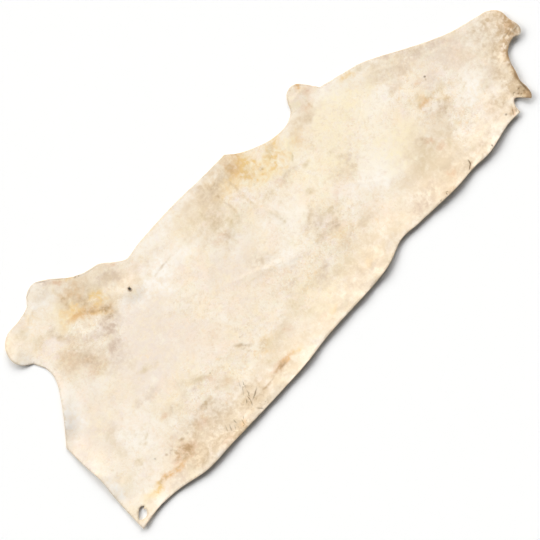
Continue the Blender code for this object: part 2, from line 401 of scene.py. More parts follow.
MARKS = {
    "broad fields": (
        Mark(Tone.PALE, 155, 140, 150, 120, 0, 0.25),
        Mark(Tone.PEACH, 640, 330, 120, 70, 0, 0.25),
        Mark(Tone.COOL, 150, 375, 140, 90, 0, 0.3),
        Mark(Tone.COOL, 540, 450, 190, 170, 0, 0.45),
        Mark(Tone.COOL, 925, 400, 150, 75, -15, 0.35),
        Mark(Tone.COOL, 420, 360, 120, 60, 0, 0.25),
        Mark(Tone.COOL, 1980, 330, 130, 70, -20, 0.3),
        Mark(Tone.PALE, 250, 270, 110, 110, 0, 0.35),
        Mark(Tone.PALE, 700, 574, 190, 52, 0, 0.8),
        Mark(Tone.PALE, 1560, 240, 100, 70, 20, 0.8),
        Mark(Tone.PALE, 1445, 248, 70, 45, 0, 0.3),
        Mark(Tone.PALE, 1995, 195, 70, 56, 0, 0.7),
        Mark(Tone.PALE, 1100, 285, 100, 50, -20, 0.45),
        Mark(Tone.PALE, 1200, 400, 110, 80, 0, 0.45),
        Mark(Tone.PALE, 1700, 420, 70, 56, 0, 0.4),
        Mark(Tone.PALE, 320, 830, 130, 60, 0, 0.55),
        # Painted light: the pale bands from here to the throat edge offset the shade on the
        # belly-side rims, which lean away from the light.
        Mark(Tone.PALE, 1400, 565, 150, 44, 0, 0.55),
        Mark(Tone.PALE, 1110, 690, 110, 26, 0, 0.5),
        Mark(Tone.PALE, 900, 694, 170, 26, 0, 0.5),
        Mark(Tone.PALE, 1740, 545, 150, 40, -27, 0.6),
        Mark(Tone.PALE, 1330, 560, 90, 70, 0, 0.4),
        # Painted light: these two pale marks offset the shade on the lifted thigh edge's slope,
        # which leans away from the light.
        Mark(Tone.PALE, 120, 490, 80, 100, -38, 0.5),
        Mark(Tone.PALE, 98, 458, 50, 60, -38, 0.8),
        Mark(Tone.PALE, 30, 170, 36, 70, 0, 0.6),
        Mark(Tone.PALE, 244, 486, 70, 50, 0, 0.3),
        Mark(Tone.YELLOW, 1560, 440, 200, 150, 0, 0.4),
        Mark(Tone.YELLOW, 1650, 510, 120, 80, -20, 0.35),
        Mark(Tone.YELLOW, 1120, 80, 190, 90, 0, 0.3),
        Mark(Tone.YELLOW, 1350, 380, 150, 90, 0, 0.25),
        Mark(Tone.TAN, 1000, 630, 170, 60, 0, 0.35),
        # From here to the smoke band at the shoulder, the long bands along the back edge are partly
        # the leather's own tan and partly painted shade that tones down the light on the lifted
        # back edge.
        Mark(Tone.SMOKE, 430, 40, 270, 100, -2, 0.42),
        Mark(Tone.TAN, 640, 10, 420, 80, 0, 0.3),
        Mark(Tone.TAN, 1250, 15, 420, 80, 0, 0.3),
        Mark(Tone.TAN, 900, 40, 340, 90, 0, 0.3),
        Mark(Tone.SLATE, 1220, 25, 110, 40, 0, 0.25),
        Mark(Tone.TAN, 1440, 0, 200, 80, 0, 0.4),
        Mark(Tone.TAN, 798, -6, 76, 30, 0, 0.6),
        Mark(Tone.SMOKE, 1790, 10, 260, 70, 0, 0.38),
        Mark(Tone.TAN, 1650, 90, 150, 110, 0, 0.7),
        Mark(Tone.TAN, 1750, 130, 110, 110, 0, 0.6),
        Mark(Tone.YELLOW, 1640, 250, 120, 70, 0, 0.6),
        Mark(Tone.PALE, 1650, 560, 80, 50, -20, 0.4),
        Mark(Tone.TAN, 1860, 450, 190, 40, -29, 0.3),
        Mark(Tone.SMOKE, 2134, 108, 120, 58, 66, 0.6),
        Mark(Tone.TAN, 1400, 90, 160, 60, 0, 0.25),
        Mark(Tone.SLATE, 1585, 42, 84, 36, 0, 0.5),
        Mark(Tone.SMOKE, 2100, 290, 150, 90, -25, 0.22),
        Mark(Tone.SMOKE, 2225, 275, 85, 80, -20, 0.6),
        Mark(Tone.SMOKE, 1850, 452, 70, 44, -20, 0.3),
        Mark(Tone.SLATE, 2000, 405, 130, 26, -28, 0.4),
    ),
    "small fields": (
        Mark(Tone.COOL, 26, 303, 36, 50, 0, 0.6),
        Mark(Tone.PALE, 1610, 570, 46, 46, 0, 0.5),
        Mark(Tone.TAN, 168, 818, 40, 34, 0, 0.45),
        # Painted light: these two pale marks offset the shade on the slopes of the lifted hind
        # shank heel and thigh edge.
        Mark(Tone.PALE, 152, 725, 36, 50, 0, 0.6),
        Mark(Tone.PALE, 117, 423, 44, 32, 0, 0.4),
        Mark(Tone.PALE, 848, 144, 60, 50, 0, 0.3),
        Mark(Tone.SLATE, 245, 34, 60, 26, 0, 0.35),
        Mark(Tone.SMOKE, 303, 36, 34, 22, 0, 0.4),
        Mark(Tone.TAN, 83, 46, 36, 24, 0, 0.5),
        Mark(Tone.TAN, 1328, 52, 52, 40, 0, 0.5),
        Mark(Tone.SMOKE, 448, 17, 40, 26, 0, 0.4),
        Mark(Tone.SMOKE, 350, 16, 60, 24, 0, 0.3),
        Mark(Tone.PALE, 402, -26, 44, 24, 0, 0.9),
        Mark(Tone.PALE, 500, 69, 30, 26, 0, 0.5),
        Mark(Tone.PALE, 412, 134, 36, 26, 0, 0.5),
        Mark(Tone.PALE, 617, 78, 34, 22, 0, 0.5),
        Mark(Tone.PALE, 1858, -14, 44, 18, 0, 0.5),
        Mark(Tone.PALE, 1939, -2, 36, 20, 0, 0.5),
        Mark(Tone.SMOKE, 492, -27, 54, 18, 0, 0.7),
        Mark(Tone.TAN, 590, 4, 50, 26, 0, 0.4),
        Mark(Tone.TAN, 745, 2, 46, 22, 0, 0.35),
        Mark(Tone.SMOKE, 1652, -10, 44, 14, 0, 0.5),
        Mark(Tone.SMOKE, 2040, 10, 26, 26, 0, 0.75),
        Mark(Tone.TAN, 1993, 28, 34, 26, 0, 0.4),
        Mark(Tone.TAN, 1341, 97, 34, 26, 0, 0.5),
        Mark(Tone.PALE, 1794, 405, 60, 40, 0, 0.4),
        Mark(Tone.SMOKE, 2070, 96, 60, 56, 0, 0.42),
        Mark(Tone.SLATE, 1940, 82, 60, 30, 0, 0.3),
        Mark(Tone.SMOKE, 1953, 450, 60, 20, -28, 0.4),
    ),
    "tail": (
        Mark(Tone.YELLOW, 95, 60, 40, 18, 0, 0.55),
        Mark(Tone.GOLD, 140, 62, 48, 17, 0, 0.55),
        Mark(Tone.ORANGE, 187, 65, 40, 16, 0, 0.5),
        Mark(Tone.BROWN, 170, 68, 12, 8, 0, 0.35),
        Mark(Tone.BROWN, 192, 62, 14, 8, 0, 0.35),
        Mark(Tone.ORANGE, 240, 57, 66, 16, -3, 0.6),
        Mark(Tone.BROWN, 252, 58, 20, 7, 0, 0.25),
        Mark(Tone.RUST, 312, 82, 64, 46, 0, 0.4),
        Mark(Tone.BROWN, 292, 98, 28, 24, 30, 0.55),
        Mark(Tone.BROWN, 326, 82, 28, 20, 0, 0.7),
        Mark(Tone.BROWN, 308, 62, 22, 14, 0, 0.4),
        Mark(Tone.SMOKE, 345, 45, 34, 20, 0, 0.45),
        Mark(Tone.SMOKE, 380, 105, 44, 40, 0, 0.25),
        Mark(Tone.BROWN, 283, 118, 18, 9, 20, 0.4),
        Mark(Tone.BROWN, 257, 121, 6, 5, 0, 0.5),
        Mark(Tone.DARK, 218, 142, 4, 4, 0, 0.4),
        Mark(Tone.BROWN, 337, 119, 10, 7, 0, 0.6),
        Mark(Tone.BROWN, 364, 115, 7, 6, 0, 0.5),
        Mark(Tone.OLIVE, 168, 172, 20, 14, 0, 0.6),
        Mark(Tone.OLIVE, 225, 222, 12, 8, 0, 0.4),
        Mark(Tone.OLIVE, 235, 205, 9, 7, 0, 0.4),
        Mark(Tone.OLIVE, 256, 222, 18, 7, 20, 0.45),
        Mark(Tone.OLIVE, 160, 280, 60, 22, 70, 0.25),
        Mark(Tone.OLIVE, 190, 320, 30, 20, 0, 0.25),
        Mark(Tone.TAN, 366, 226, 48, 26, 20, 0.5),
        Mark(Tone.RUST, 350, 221, 20, 10, 0, 0.35),
        Mark(Tone.BROWN, 388, 218, 22, 10, 30, 0.3),
        Mark(Tone.TAN, 340, 275, 36, 24, 60, 0.3),
        Mark(Tone.TAN, 466, 226, 26, 24, 0, 0.45),
        Mark(Tone.TAN, 421, 453, 34, 28, 0, 0.45),
        Mark(Tone.SLATE, 398, 484, 64, 36, 0, 0.3),
        Mark(Tone.SMOKE, 185, 350, 36, 28, 0, 0.2),
        Mark(Tone.SLATE, 370, 315, 60, 22, 0, 0.3),
        Mark(Tone.OLIVE, 90, 180, 36, 30, 0, 0.2),
    ),
    "rump and loin": (
        Mark(Tone.SMOKE, 455, 85, 84, 80, 0, 0.2),
        Mark(Tone.SMOKE, 485, 138, 44, 30, 0, 0.3),
        Mark(Tone.BROWN, 486, 142, 24, 15, 0, 0.3),
        Mark(Tone.RUST, 440, 95, 40, 26, 0, 0.25),
        Mark(Tone.SLATE, 425, 96, 24, 20, 0, 0.25),
        Mark(Tone.SMOKE, 566, 58, 56, 46, 0, 0.18),
        Mark(Tone.TAN, 608, 138, 42, 24, -20, 0.5),
        Mark(Tone.ORANGE, 610, 134, 24, 12, 0, 0.2),
        Mark(Tone.OLIVE, 525, 232, 70, 20, -38, 0.35),
        Mark(Tone.SMOKE, 548, 205, 40, 14, -50, 0.3),
        Mark(Tone.RUST, 566, 186, 30, 12, -50, 0.25),
        Mark(Tone.SLATE, 520, 205, 30, 15, 0, 0.3),
        Mark(Tone.DARK, 585, 200, 4, 3, 0, 0.4),
        Mark(Tone.OLIVE, 440, 385, 26, 15, 0, 0.35),
        Mark(Tone.OLIVE, 475, 370, 18, 12, 0, 0.4),
        Mark(Tone.OLIVE, 410, 190, 40, 24, 0, 0.25),
        Mark(Tone.SMOKE, 732, 182, 28, 14, -45, 0.6),
        Mark(Tone.SMOKE, 752, 164, 30, 8, -40, 0.45),
        Mark(Tone.GOLD, 790, 120, 48, 32, 0, 0.35),
        Mark(Tone.BROWN, 788, 126, 24, 16, 0, 0.3),
        Mark(Tone.OLIVE, 830, 100, 40, 26, 0, 0.3),
        Mark(Tone.OLIVE, 770, 72, 40, 20, 0, 0.35),
        Mark(Tone.DARK, 755, 208, 4, 3, 0, 0.35),
        Mark(Tone.TAN, 895, 118, 44, 30, 0, 0.4),
        Mark(Tone.SMOKE, 900, 124, 20, 12, 0, 0.3),
        Mark(Tone.SMOKE, 620, 28, 56, 44, 0, 0.45),
        Mark(Tone.TAN, 690, 12, 76, 22, 0, 0.4),
        Mark(Tone.BROWN, 690, 17, 44, 4, 0, 0.45),
        Mark(Tone.RUST, 775, 24, 50, 19, 0, 0.6),
        Mark(Tone.BROWN, 770, 22, 34, 11, 6, 0.65),
        Mark(Tone.DARK, 786, 20, 15, 5, 0, 0.3),
        Mark(Tone.ORANGE, 818, 26, 34, 16, 0, 0.85),
        Mark(Tone.GOLD, 856, 20, 30, 14, 0, 0.5),
        Mark(Tone.RUST, 690, 290, 60, 20, 30, 0.12),
    ),
    "hair roots by the back edge": (
        Mark(Tone.DARK, 475, 20, 12, 2.0, 60, 0.45),
        Mark(Tone.DARK, 487, 11, 13, 2.2, 58, 0.5),
        Mark(Tone.DARK, 499, 0, 10, 2.0, 55, 0.45),
        Mark(Tone.DARK, 515, 15, 9, 2.6, 82, 0.6),
        Mark(Tone.DARK, 533, -8, 12, 2.2, 75, 0.55),
        Mark(Tone.DARK, 546, 2, 8, 1.8, 40, 0.45),
        Mark(Tone.ORANGE, 530, -10, 18, 11, 0, 0.6),
        Mark(Tone.RUST, 450, -10, 24, 10, 0, 0.4),
        Mark(Grain.FLECKS, 530, -10, 46, 20, 0, 0.9),
        Mark(Grain.FLECKS, 618, 24, 46, 34, 0, 1.0),
        Mark(Grain.FLECKS, 632, 78, 24, 34, -30, 0.6),
        Mark(Tone.DARK, 640, 30, 24, 3.0, 24, 0.7),
        Mark(Tone.DARK, 606, 16, 12, 2.2, 62, 0.65),
        Mark(Tone.DARK, 598, 34, 9, 2.0, 48, 0.6),
        Mark(Tone.DARK, 612, 34, 12, 2.4, 80, 0.6),
        Mark(Tone.DARK, 623, 48, 13, 2.0, 65, 0.6),
        Mark(Tone.DARK, 618, 70, 20, 1.6, 52, 0.45),
        Mark(Tone.DARK, 636, 80, 18, 1.8, 62, 0.45),
        Mark(Tone.DARK, 626, 92, 12, 1.6, 58, 0.4),
        Mark(Tone.DARK, 612, -20, 15, 2.2, -55, 0.65),
        Mark(Tone.DARK, 1617, -4, 5, 3.0, 0, 0.9),
        Mark(Tone.DARK, 1650, -4, 7, 2.2, 62, 0.85),
        Mark(Tone.DARK, 1657, 1, 4, 2.0, -50, 0.6),
        Mark(Tone.DARK, 1790, 10, 12, 3.4, 62, 1.0),
        Mark(Tone.DARK, 1777, -1, 12, 2.6, 28, 0.9),
        Mark(Tone.BROWN, 1786, 4, 18, 10, 40, 0.5),
        Mark(Tone.DARK, 1892, -8, 3.4, 4.4, 0, 0.8),
        Mark(Tone.DARK, 2010, 29, 4.5, 4.5, 0, 0.8),
        Mark(Tone.RUST, 2036, 14, 16, 6, 50, 0.6),
        Mark(Tone.DARK, 2036, 18, 14, 2.4, 52, 0.7),
        Mark(Tone.DARK, 2047, 12, 9, 2.0, 55, 0.6),
    ),
    "hind shank": (
        Mark(Tone.SMOKE, 305, 600, 92, 62, -10, 0.4),
        Mark(Tone.TAN, 305, 575, 90, 56, -10, 0.4),
        Mark(Tone.SLATE, 325, 560, 44, 34, 0, 0.3),
        Mark(Tone.SMOKE, 262, 576, 40, 26, 0, 0.12),
        Mark(Tone.RUST, 300, 600, 60, 44, 0, 0.2),
        Mark(Tone.BROWN, 322, 566, 22, 15, 0, 0.4),
        Mark(Tone.RUST, 305, 522, 52, 26, 0, 0.3),
        Mark(Tone.OLIVE, 335, 520, 34, 26, 0, 0.35),
        Mark(Grain.FLECKS, 320, 526, 44, 34, 0, 0.25),
        Mark(Tone.COOL, 270, 690, 46, 32, 0, 0.5),
        Mark(Tone.PALE, 270, 690, 26, 20, 0, 0.4),
        Mark(Tone.SMOKE, 316, 700, 44, 14, -45, 0.5),
        Mark(Tone.SLATE, 345, 655, 50, 20, -40, 0.4),
        Mark(Tone.BROWN, 310, 735, 20, 12, 0, 0.25),
        Mark(Tone.YELLOW, 372, 724, 60, 32, 0, 0.6),
        Mark(Tone.TAN, 450, 745, 110, 70, -20, 0.5),
        Mark(Tone.TAN, 345, 718, 60, 26, -10, 0.45),
        Mark(Tone.TAN, 541, 656, 32, 20, 0, 0.65),
        Mark(Tone.SLATE, 503, 580, 30, 20, 0, 0.35),
        # Painted light: offsets the shade on the mound round the grub hole, on its side away from
        # the light.
        Mark(Tone.PALE, 617, 588, 60, 26, 0, 0.4),
        Mark(Tone.ORANGE, 410, 706, 36, 16, -24, 0.45),
        Mark(Tone.RUST, 404, 702, 24, 10, -24, 0.2),
        Mark(Tone.ORANGE, 458, 680, 84, 26, -36, 0.55),
        Mark(Tone.TAN, 452, 690, 100, 44, -36, 0.4),
        Mark(Tone.BROWN, 472, 666, 66, 10, -38, 0.4),
        Mark(Tone.BROWN, 505, 646, 22, 14, -30, 0.6),
        Mark(Tone.BROWN, 497, 612, 14, 10, 0, 0.6),
        Mark(Tone.DARK, 508, 640, 9, 6, 0, 0.25),
        Mark(Tone.BROWN, 425, 780, 11, 7, 0, 0.5),
        Mark(Tone.BROWN, 415, 750, 14, 8, 40, 0.45),
        Mark(Tone.SMOKE, 455, 762, 62, 44, 0, 0.5),
        Mark(Tone.ORANGE, 465, 770, 50, 34, 0, 0.3),
        Mark(Tone.BROWN, 468, 726, 24, 26, 0, 0.35),
        Mark(Tone.OLIVE, 528, 712, 46, 30, 0, 0.35),
        Mark(Tone.BROWN, 520, 740, 30, 12, -20, 0.1),
        Mark(Tone.GOLD, 502, 697, 46, 26, -30, 0.75),
        Mark(Tone.GOLD, 484, 652, 36, 22, -38, 0.7),
        Mark(Tone.GOLD, 404, 716, 54, 32, -10, 0.55),
        Mark(Tone.OLIVE, 450, 760, 50, 34, 0, 0.35),
        Mark(Tone.YELLOW, 380, 772, 44, 26, 0, 0.5),
        Mark(Tone.TAN, 562, 700, 34, 26, 0, 0.45),
        Mark(Tone.SMOKE, 600, 702, 32, 24, 0, 0.4),
        Mark(Tone.TAN, 640, 690, 36, 26, 0, 0.45),
        Mark(Tone.SLATE, 575, 725, 30, 32, 0, 0.35),
        Mark(Tone.SLATE, 618, 700, 36, 34, 0, 0.4),
        Mark(Tone.TAN, 608, 752, 52, 18, -28, 0.5),
        Mark(Tone.RUST, 640, 730, 26, 8, -40, 0.4),
        Mark(Tone.SLATE, 462, 592, 44, 26, 10, 0.8),
        Mark(Tone.BROWN, 448, 592, 20, 12, 0, 0.2),
        Mark(Tone.SLATE, 425, 540, 36, 22, 0, 0.45),
        Mark(Tone.SLATE, 400, 612, 40, 24, 0, 0.3),
        Mark(Tone.GOLD, 290, 815, 60, 30, 0, 0.25),
        Mark(Tone.OLIVE, 225, 815, 40, 28, 0, 0.4),
        Mark(Tone.OLIVE, 255, 735, 40, 20, 0, 0.3),
        Mark(Tone.SMOKE, 395, 850, 40, 20, 0, 0.25),
        Mark(Tone.RUST, 455, 838, 30, 10, -45, 0.4),
        Mark(Tone.TAN, 494, 808, 66, 26, -35, 0.65),
        Mark(Tone.GOLD, 494, 822, 34, 14, -35, 0.4),
        Mark(Tone.SLATE, 432, 866, 40, 12, -48, 0.5),
        # Painted shadow: these four thin dark lines run along the shank's top edge.
        Mark(Tone.DARK, 352, 889, 34, 3, 18, 0.4),
        Mark(Tone.DARK, 414, 887, 34, 3, -38, 0.4),
        Mark(Tone.DARK, 470, 843, 40, 3, -42, 0.35),
        Mark(Tone.DARK, 560, 783, 46, 3, -18, 0.25),
        Mark(Tone.SMOKE, 512, 607, 22, 20, 0, 0.5),
        Mark(Tone.TAN, 548, 644, 30, 20, 0, 0.6),
        Mark(Tone.TAN, 609, 664, 28, 20, 0, 0.5),
        Mark(Tone.SLATE, 420, 520, 30, 24, 0, 0.4),
        Mark(Tone.TAN, 656, 660, 50, 38, 0, 0.8),
        Mark(Tone.SMOKE, 492, 621, 24, 18, 0, 0.4),
        Mark(Tone.DARK, 517, 803, 7, 4, 0, 0.7),
        Mark(Tone.DARK, 528, 797, 5, 3, 0, 0.6),
        Mark(Tone.SMOKE, 760, 592, 50, 5, 5, 0.35),
        # Painted shadow: this dark ring round the grub hole stands in for the shade inside the
        # small hole.
        Mark(Tone.DARK, 617, 625, 6, 8.5, 0, 1.0),
        Mark(Tone.TAN, 600, 646, 30, 18, 0, 0.3),
    ),
    "belly": (
        Mark(Tone.OLIVE, 1005, 548, 70, 84, 0, 0.5),
        Mark(Tone.SMOKE, 1010, 562, 34, 36, 0, 0.4),
        Mark(Tone.SMOKE, 1040, 620, 80, 50, 0, 0.3),
        Mark(Tone.OLIVE, 930, 600, 60, 34, 0, 0.25),
        Mark(Tone.BROWN, 1000, 492, 14, 11, 0, 0.35),
        Mark(Tone.RUST, 980, 496, 40, 14, 0, 0.25),
        Mark(Tone.SMOKE, 1125, 655, 96, 44, 0, 0.42),
        Mark(Tone.GOLD, 1115, 677, 50, 20, 0, 0.3),
        Mark(Tone.TAN, 1130, 650, 84, 40, 0, 0.3),
        Mark(Tone.BROWN, 1100, 652, 28, 18, 0, 0.25),
        Mark(Tone.BROWN, 1080, 612, 12, 12, 0, 0.3),
        Mark(Tone.BROWN, 1085, 556, 5, 48, 0, 0.25),
        Mark(Tone.BROWN, 1150, 590, 6, 40, 0, 0.25),
        Mark(Tone.OLIVE, 1148, 520, 7, 44, 4, 0.4),
        Mark(Tone.GOLD, 1155, 606, 34, 40, 0, 0.4),
        Mark(Tone.GOLD, 1100, 604, 56, 36, 0, 0.35),
        Mark(Tone.GOLD, 1205, 642, 56, 66, -15, 0.4),
        Mark(Tone.ORANGE, 1205, 650, 42, 56, -15, 0.45),
        Mark(Tone.BROWN, 1196, 660, 22, 34, -15, 0.22),
        Mark(Tone.YELLOW, 1300, 560, 130, 70, -10, 0.5),
        Mark(Tone.GOLD, 1238, 602, 60, 52, 0, 0.7),
        Mark(Tone.BROWN, 1220, 588, 30, 22, 0, 0.15),
        Mark(Tone.BROWN, 1266, 565, 10, 8, 0, 0.5),
        Mark(Tone.GOLD, 1260, 620, 40, 30, 0, 0.35),
        Mark(Tone.GOLD, 1382, 606, 50, 20, -8, 0.7),
        Mark(Tone.TAN, 1142, 695, 52, 16, 0, 0.4),
        Mark(Tone.YELLOW, 1517, 638, 24, 26, 0, 0.5),
        Mark(Tone.TAN, 923, 534, 44, 30, 0, 0.4),
        Mark(Grain.FLECKS, 1235, 600, 50, 50, 0, 0.2),
        Mark(Tone.GOLD, 1318, 554, 84, 44, 5, 0.62),
        Mark(Tone.YELLOW, 1268, 550, 46, 26, 0, 0.6),
        Mark(Tone.OLIVE, 1330, 580, 52, 20, 60, 0.3),
        Mark(Tone.GOLD, 1336, 576, 44, 24, 60, 0.6),
        Mark(Tone.BROWN, 1350, 590, 22, 8, 60, 0.2),
        Mark(Tone.YELLOW, 1388, 538, 42, 14, 52, 0.8),
        Mark(Tone.PALE, 1364, 540, 26, 20, 40, 0.5),
        Mark(Tone.OLIVE, 1374, 508, 22, 5, 45, 0.5),
        Mark(Tone.YELLOW, 1420, 545, 50, 24, 30, 0.4),
        Mark(Tone.GOLD, 1440, 536, 50, 28, 40, 0.3),
        Mark(Tone.RUST, 1440, 530, 30, 14, 40, 0.2),
        Mark(Tone.TAN, 1446, 560, 36, 18, 40, 0.5),
        Mark(Tone.TAN, 1510, 575, 66, 34, 0, 0.6),
        Mark(Tone.SMOKE, 1520, 566, 36, 20, 0, 0.35),
        Mark(Tone.BROWN, 1320, 480, 40, 18, 0, 0.25),
        Mark(Tone.ORANGE, 1575, 664, 15, 18, -40, 0.75),
        Mark(Tone.RUST, 1590, 634, 22, 20, 0, 0.35),
        Mark(Tone.PEACH, 1540, 650, 28, 26, 0, 0.4),
        Mark(Tone.RUST, 1545, 600, 40, 20, 0, 0.3),
        Mark(Tone.OLIVE, 1560, 590, 5, 34, 0, 0.4),
        Mark(Tone.RUST, 1280, 480, 34, 14, -20, 0.25),
        Mark(Tone.OLIVE, 1215, 482, 26, 14, 0, 0.35),
    ),
    "ribs and withers": (
        Mark(Tone.SLATE, 1025, 200, 16, 12, 0, 0.5),
        Mark(Tone.OLIVE, 1020, 165, 34, 26, 0, 0.2),
        Mark(Tone.OLIVE, 965, 130, 40, 26, 0, 0.4),
        Mark(Tone.OLIVE, 985, 92, 30, 20, 0, 0.3),
        Mark(Tone.RUST, 900, 100, 30, 20, 0, 0.25),
        Mark(Tone.SLATE, 1155, 146, 34, 24, 0, 0.45),
        Mark(Tone.SLATE, 1078, 236, 18, 12, 0, 0.3),
        Mark(Tone.SMOKE, 1110, 130, 56, 40, 0, 0.3),
        Mark(Tone.SMOKE, 1025, 335, 60, 30, -20, 0.35),
        Mark(Tone.SLATE, 1120, 250, 50, 12, -35, 0.35),
        Mark(Tone.RUST, 1042, 246, 20, 14, 0, 0.3),
        Mark(Tone.OLIVE, 1172, 420, 14, 60, 0, 0.35),
        Mark(Tone.OLIVE, 1180, 372, 18, 14, 0, 0.35),
        Mark(Tone.OLIVE, 1325, 372, 18, 14, 0, 0.45),
        Mark(Tone.OLIVE, 1385, 450, 22, 15, 0, 0.4),
        Mark(Tone.OLIVE, 1482, 410, 18, 12, 0, 0.35),
        Mark(Tone.SLATE, 1510, 350, 16, 12, 0, 0.4),
        Mark(Tone.SMOKE, 1245, 292, 50, 40, 0, 0.4),
        Mark(Tone.SMOKE, 1300, 226, 34, 24, 0, 0.4),
        Mark(Tone.BROWN, 1300, 226, 18, 12, 0, 0.3),
        Mark(Tone.OLIVE, 1330, 268, 40, 20, -10, 0.5),
        Mark(Tone.SMOKE, 1240, 226, 34, 20, 0, 0.4),
        Mark(Tone.GOLD, 1292, 188, 44, 30, 0, 0.25),
        Mark(Tone.ORANGE, 1300, 200, 20, 12, 0, 0.2),
        Mark(Tone.ORANGE, 1280, 144, 20, 12, 0, 0.25),
        Mark(Tone.SMOKE, 1275, 150, 60, 40, 0, 0.25),
        Mark(Tone.TAN, 1400, 165, 40, 30, 0, 0.35),
        Mark(Tone.SMOKE, 1370, 160, 36, 24, 0, 0.35),
        Mark(Tone.GOLD, 1060, 25, 18, 12, 0, 0.3),
        Mark(Tone.YELLOW, 1040, 56, 34, 22, 0, 0.4),
        Mark(Tone.RUST, 1012, 30, 20, 12, 0, 0.25),
        Mark(Tone.TAN, 1240, 70, 80, 60, 0, 0.4),
        Mark(Tone.OLIVE, 1232, 62, 14, 56, 0, 0.35),
        Mark(Tone.GOLD, 1275, 44, 36, 16, 20, 0.2),
        Mark(Tone.YELLOW, 1335, 42, 34, 22, 0, 0.4),
        Mark(Tone.SMOKE, 1180, 90, 30, 36, 30, 0.3),
        Mark(Tone.SMOKE, 1480, 335, 70, 40, 0, 0.25),
        Mark(Tone.RUST, 1375, 285, 34, 12, 30, 0.3),
    ),
    "shoulder and neck": (
        Mark(Tone.OLIVE, 1700, 140, 70, 60, 0, 0.3),
        Mark(Tone.SMOKE, 1738, 190, 26, 18, 0, 0.5),
        Mark(Tone.RUST, 1752, 174, 16, 18, 0, 0.4),
        Mark(Tone.RUST, 1772, 122, 24, 20, 0, 0.4),
        Mark(Tone.OLIVE, 1800, 120, 12, 60, 0, 0.3),
        Mark(Tone.RUST, 1722, 36, 22, 22, 0, 0.35),
        Mark(Tone.SMOKE, 1850, 205, 44, 34, 0, 0.35),
        Mark(Tone.SMOKE, 1830, 130, 30, 40, 0, 0.25),
        Mark(Tone.OLIVE, 1838, 298, 34, 24, 20, 0.45),
        Mark(Tone.GOLD, 1850, 290, 44, 30, 0, 0.3),
        Mark(Tone.ORANGE, 1852, 279, 38, 18, 0, 0.5),
        Mark(Tone.BROWN, 1872, 284, 20, 12, 0, 0.3),
        Mark(Tone.SMOKE, 1882, 220, 34, 26, 0, 0.5),
        Mark(Tone.GOLD, 1905, 240, 30, 14, -40, 0.3),
        Mark(Tone.OLIVE, 1925, 275, 40, 20, -20, 0.35),
        Mark(Tone.YELLOW, 1783, 478, 44, 34, 0, 0.4),
        Mark(Tone.SLATE, 1880, 506, 40, 18, -28, 0.45),
        Mark(Tone.TAN, 1815, 500, 30, 14, -20, 0.3),
        Mark(Tone.SMOKE, 1815, 398, 34, 22, 0, 0.35),
        Mark(Tone.SLATE, 1885, 428, 34, 24, 0, 0.4),
        Mark(Tone.OLIVE, 1790, 540, 34, 12, -30, 0.5),
        Mark(Tone.GOLD, 1727, 556, 36, 16, -20, 0.45),
        Mark(Tone.RUST, 1888, 348, 20, 12, 0, 0.35),
        Mark(Tone.SLATE, 1920, 320, 40, 30, 0, 0.3),
        Mark(Tone.DARK, 1917, 345, 4.5, 5, -20, 1.0),
        Mark(Tone.SMOKE, 1911, 334, 6, 4, 50, 0.7),
        Mark(Tone.RUST, 2060, 372, 30, 14, -30, 0.15),
        Mark(Tone.RUST, 2055, 322, 26, 18, 0, 0.12),
        Mark(Tone.SMOKE, 2020, 60, 44, 36, 0, 0.4),
        Mark(Tone.SMOKE, 2134, 195, 60, 48, 20, 0.45),
        # Along the neck notch, brown marks grow darker towards the edge, and the thin dark lines at
        # the edge itself are painted shadow.
        Mark(Tone.SMOKE, 2142, 110, 76, 22, 68, 0.6),
        Mark(Tone.BROWN, 2143, 84, 46, 22, 76, 0.6),
        Mark(Tone.BROWN, 2158, 128, 42, 24, 68, 0.75),
        Mark(Tone.BROWN, 2178, 160, 40, 28, 56, 0.9),
        Mark(Tone.DARK, 2132, 56, 26, 5, 88, 0.6),
        Mark(Tone.DARK, 2139, 92, 24, 5, 70, 0.6),
        Mark(Tone.DARK, 2156, 132, 30, 5, 68, 0.6),
        Mark(Tone.DARK, 2177, 172, 26, 6, 48, 0.7),
        Mark(Tone.BROWN, 2204, 194, 34, 20, 26, 0.75),
        Mark(Tone.SLATE, 2164, 160, 50, 22, 60, 0.6),
        Mark(Tone.TAN, 2126, 120, 90, 26, 66, 0.4),
        Mark(Tone.SMOKE, 2214, 210, 50, 18, 16, 0.4),
        Mark(Tone.DARK, 2212, 197, 28, 4, 20, 0.4),
        Mark(Tone.DARK, 2250, 197, 24, 4, -10, 0.4),
        Mark(Tone.SMOKE, 2200, 225, 70, 36, 10, 0.6),
        Mark(Tone.BROWN, 2250, 225, 40, 34, 0, 0.55),
        Mark(Tone.BROWN, 2272, 256, 18, 56, 0, 0.95),
        Mark(Tone.SMOKE, 2264, 300, 26, 34, 0, 0.5),
        Mark(Tone.DARK, 2262, 214, 18, 4, 10, 0.4),
        Mark(Tone.DARK, 2232, 224, 20, 3, 10, 0.35),
        Mark(Tone.RUST, 2258, 238, 18, 12, 0, 0.5),
        Mark(Tone.DARK, 2100, 48, 4, 3.4, 0, 0.8),
        Mark(Tone.DARK, 2113, 60, 4, 3.4, 0, 0.8),
        Mark(Tone.DARK, 2106, 39, 3, 3, 0, 0.7),
        Mark(Tone.DARK, 2090, 62, 3, 3, 0, 0.7),
        Mark(Tone.DARK, 2120, 40, 4, 3, 40, 0.6),
        Mark(Tone.OLIVE, 2112, 42, 32, 36, 0, 0.9),
        Mark(Tone.BROWN, 2126, 30, 18, 42, 0, 0.9),
        Mark(Tone.BROWN, 2117, 8, 14, 14, 0, 0.8),
        Mark(Tone.DARK, 2122, 12, 12, 18, 20, 0.6),
        Mark(Tone.DARK, 2132, 32, 7, 30, 0, 0.6),
        Mark(Tone.DARK, 2104, 20, 18, 3, 125, 0.4),
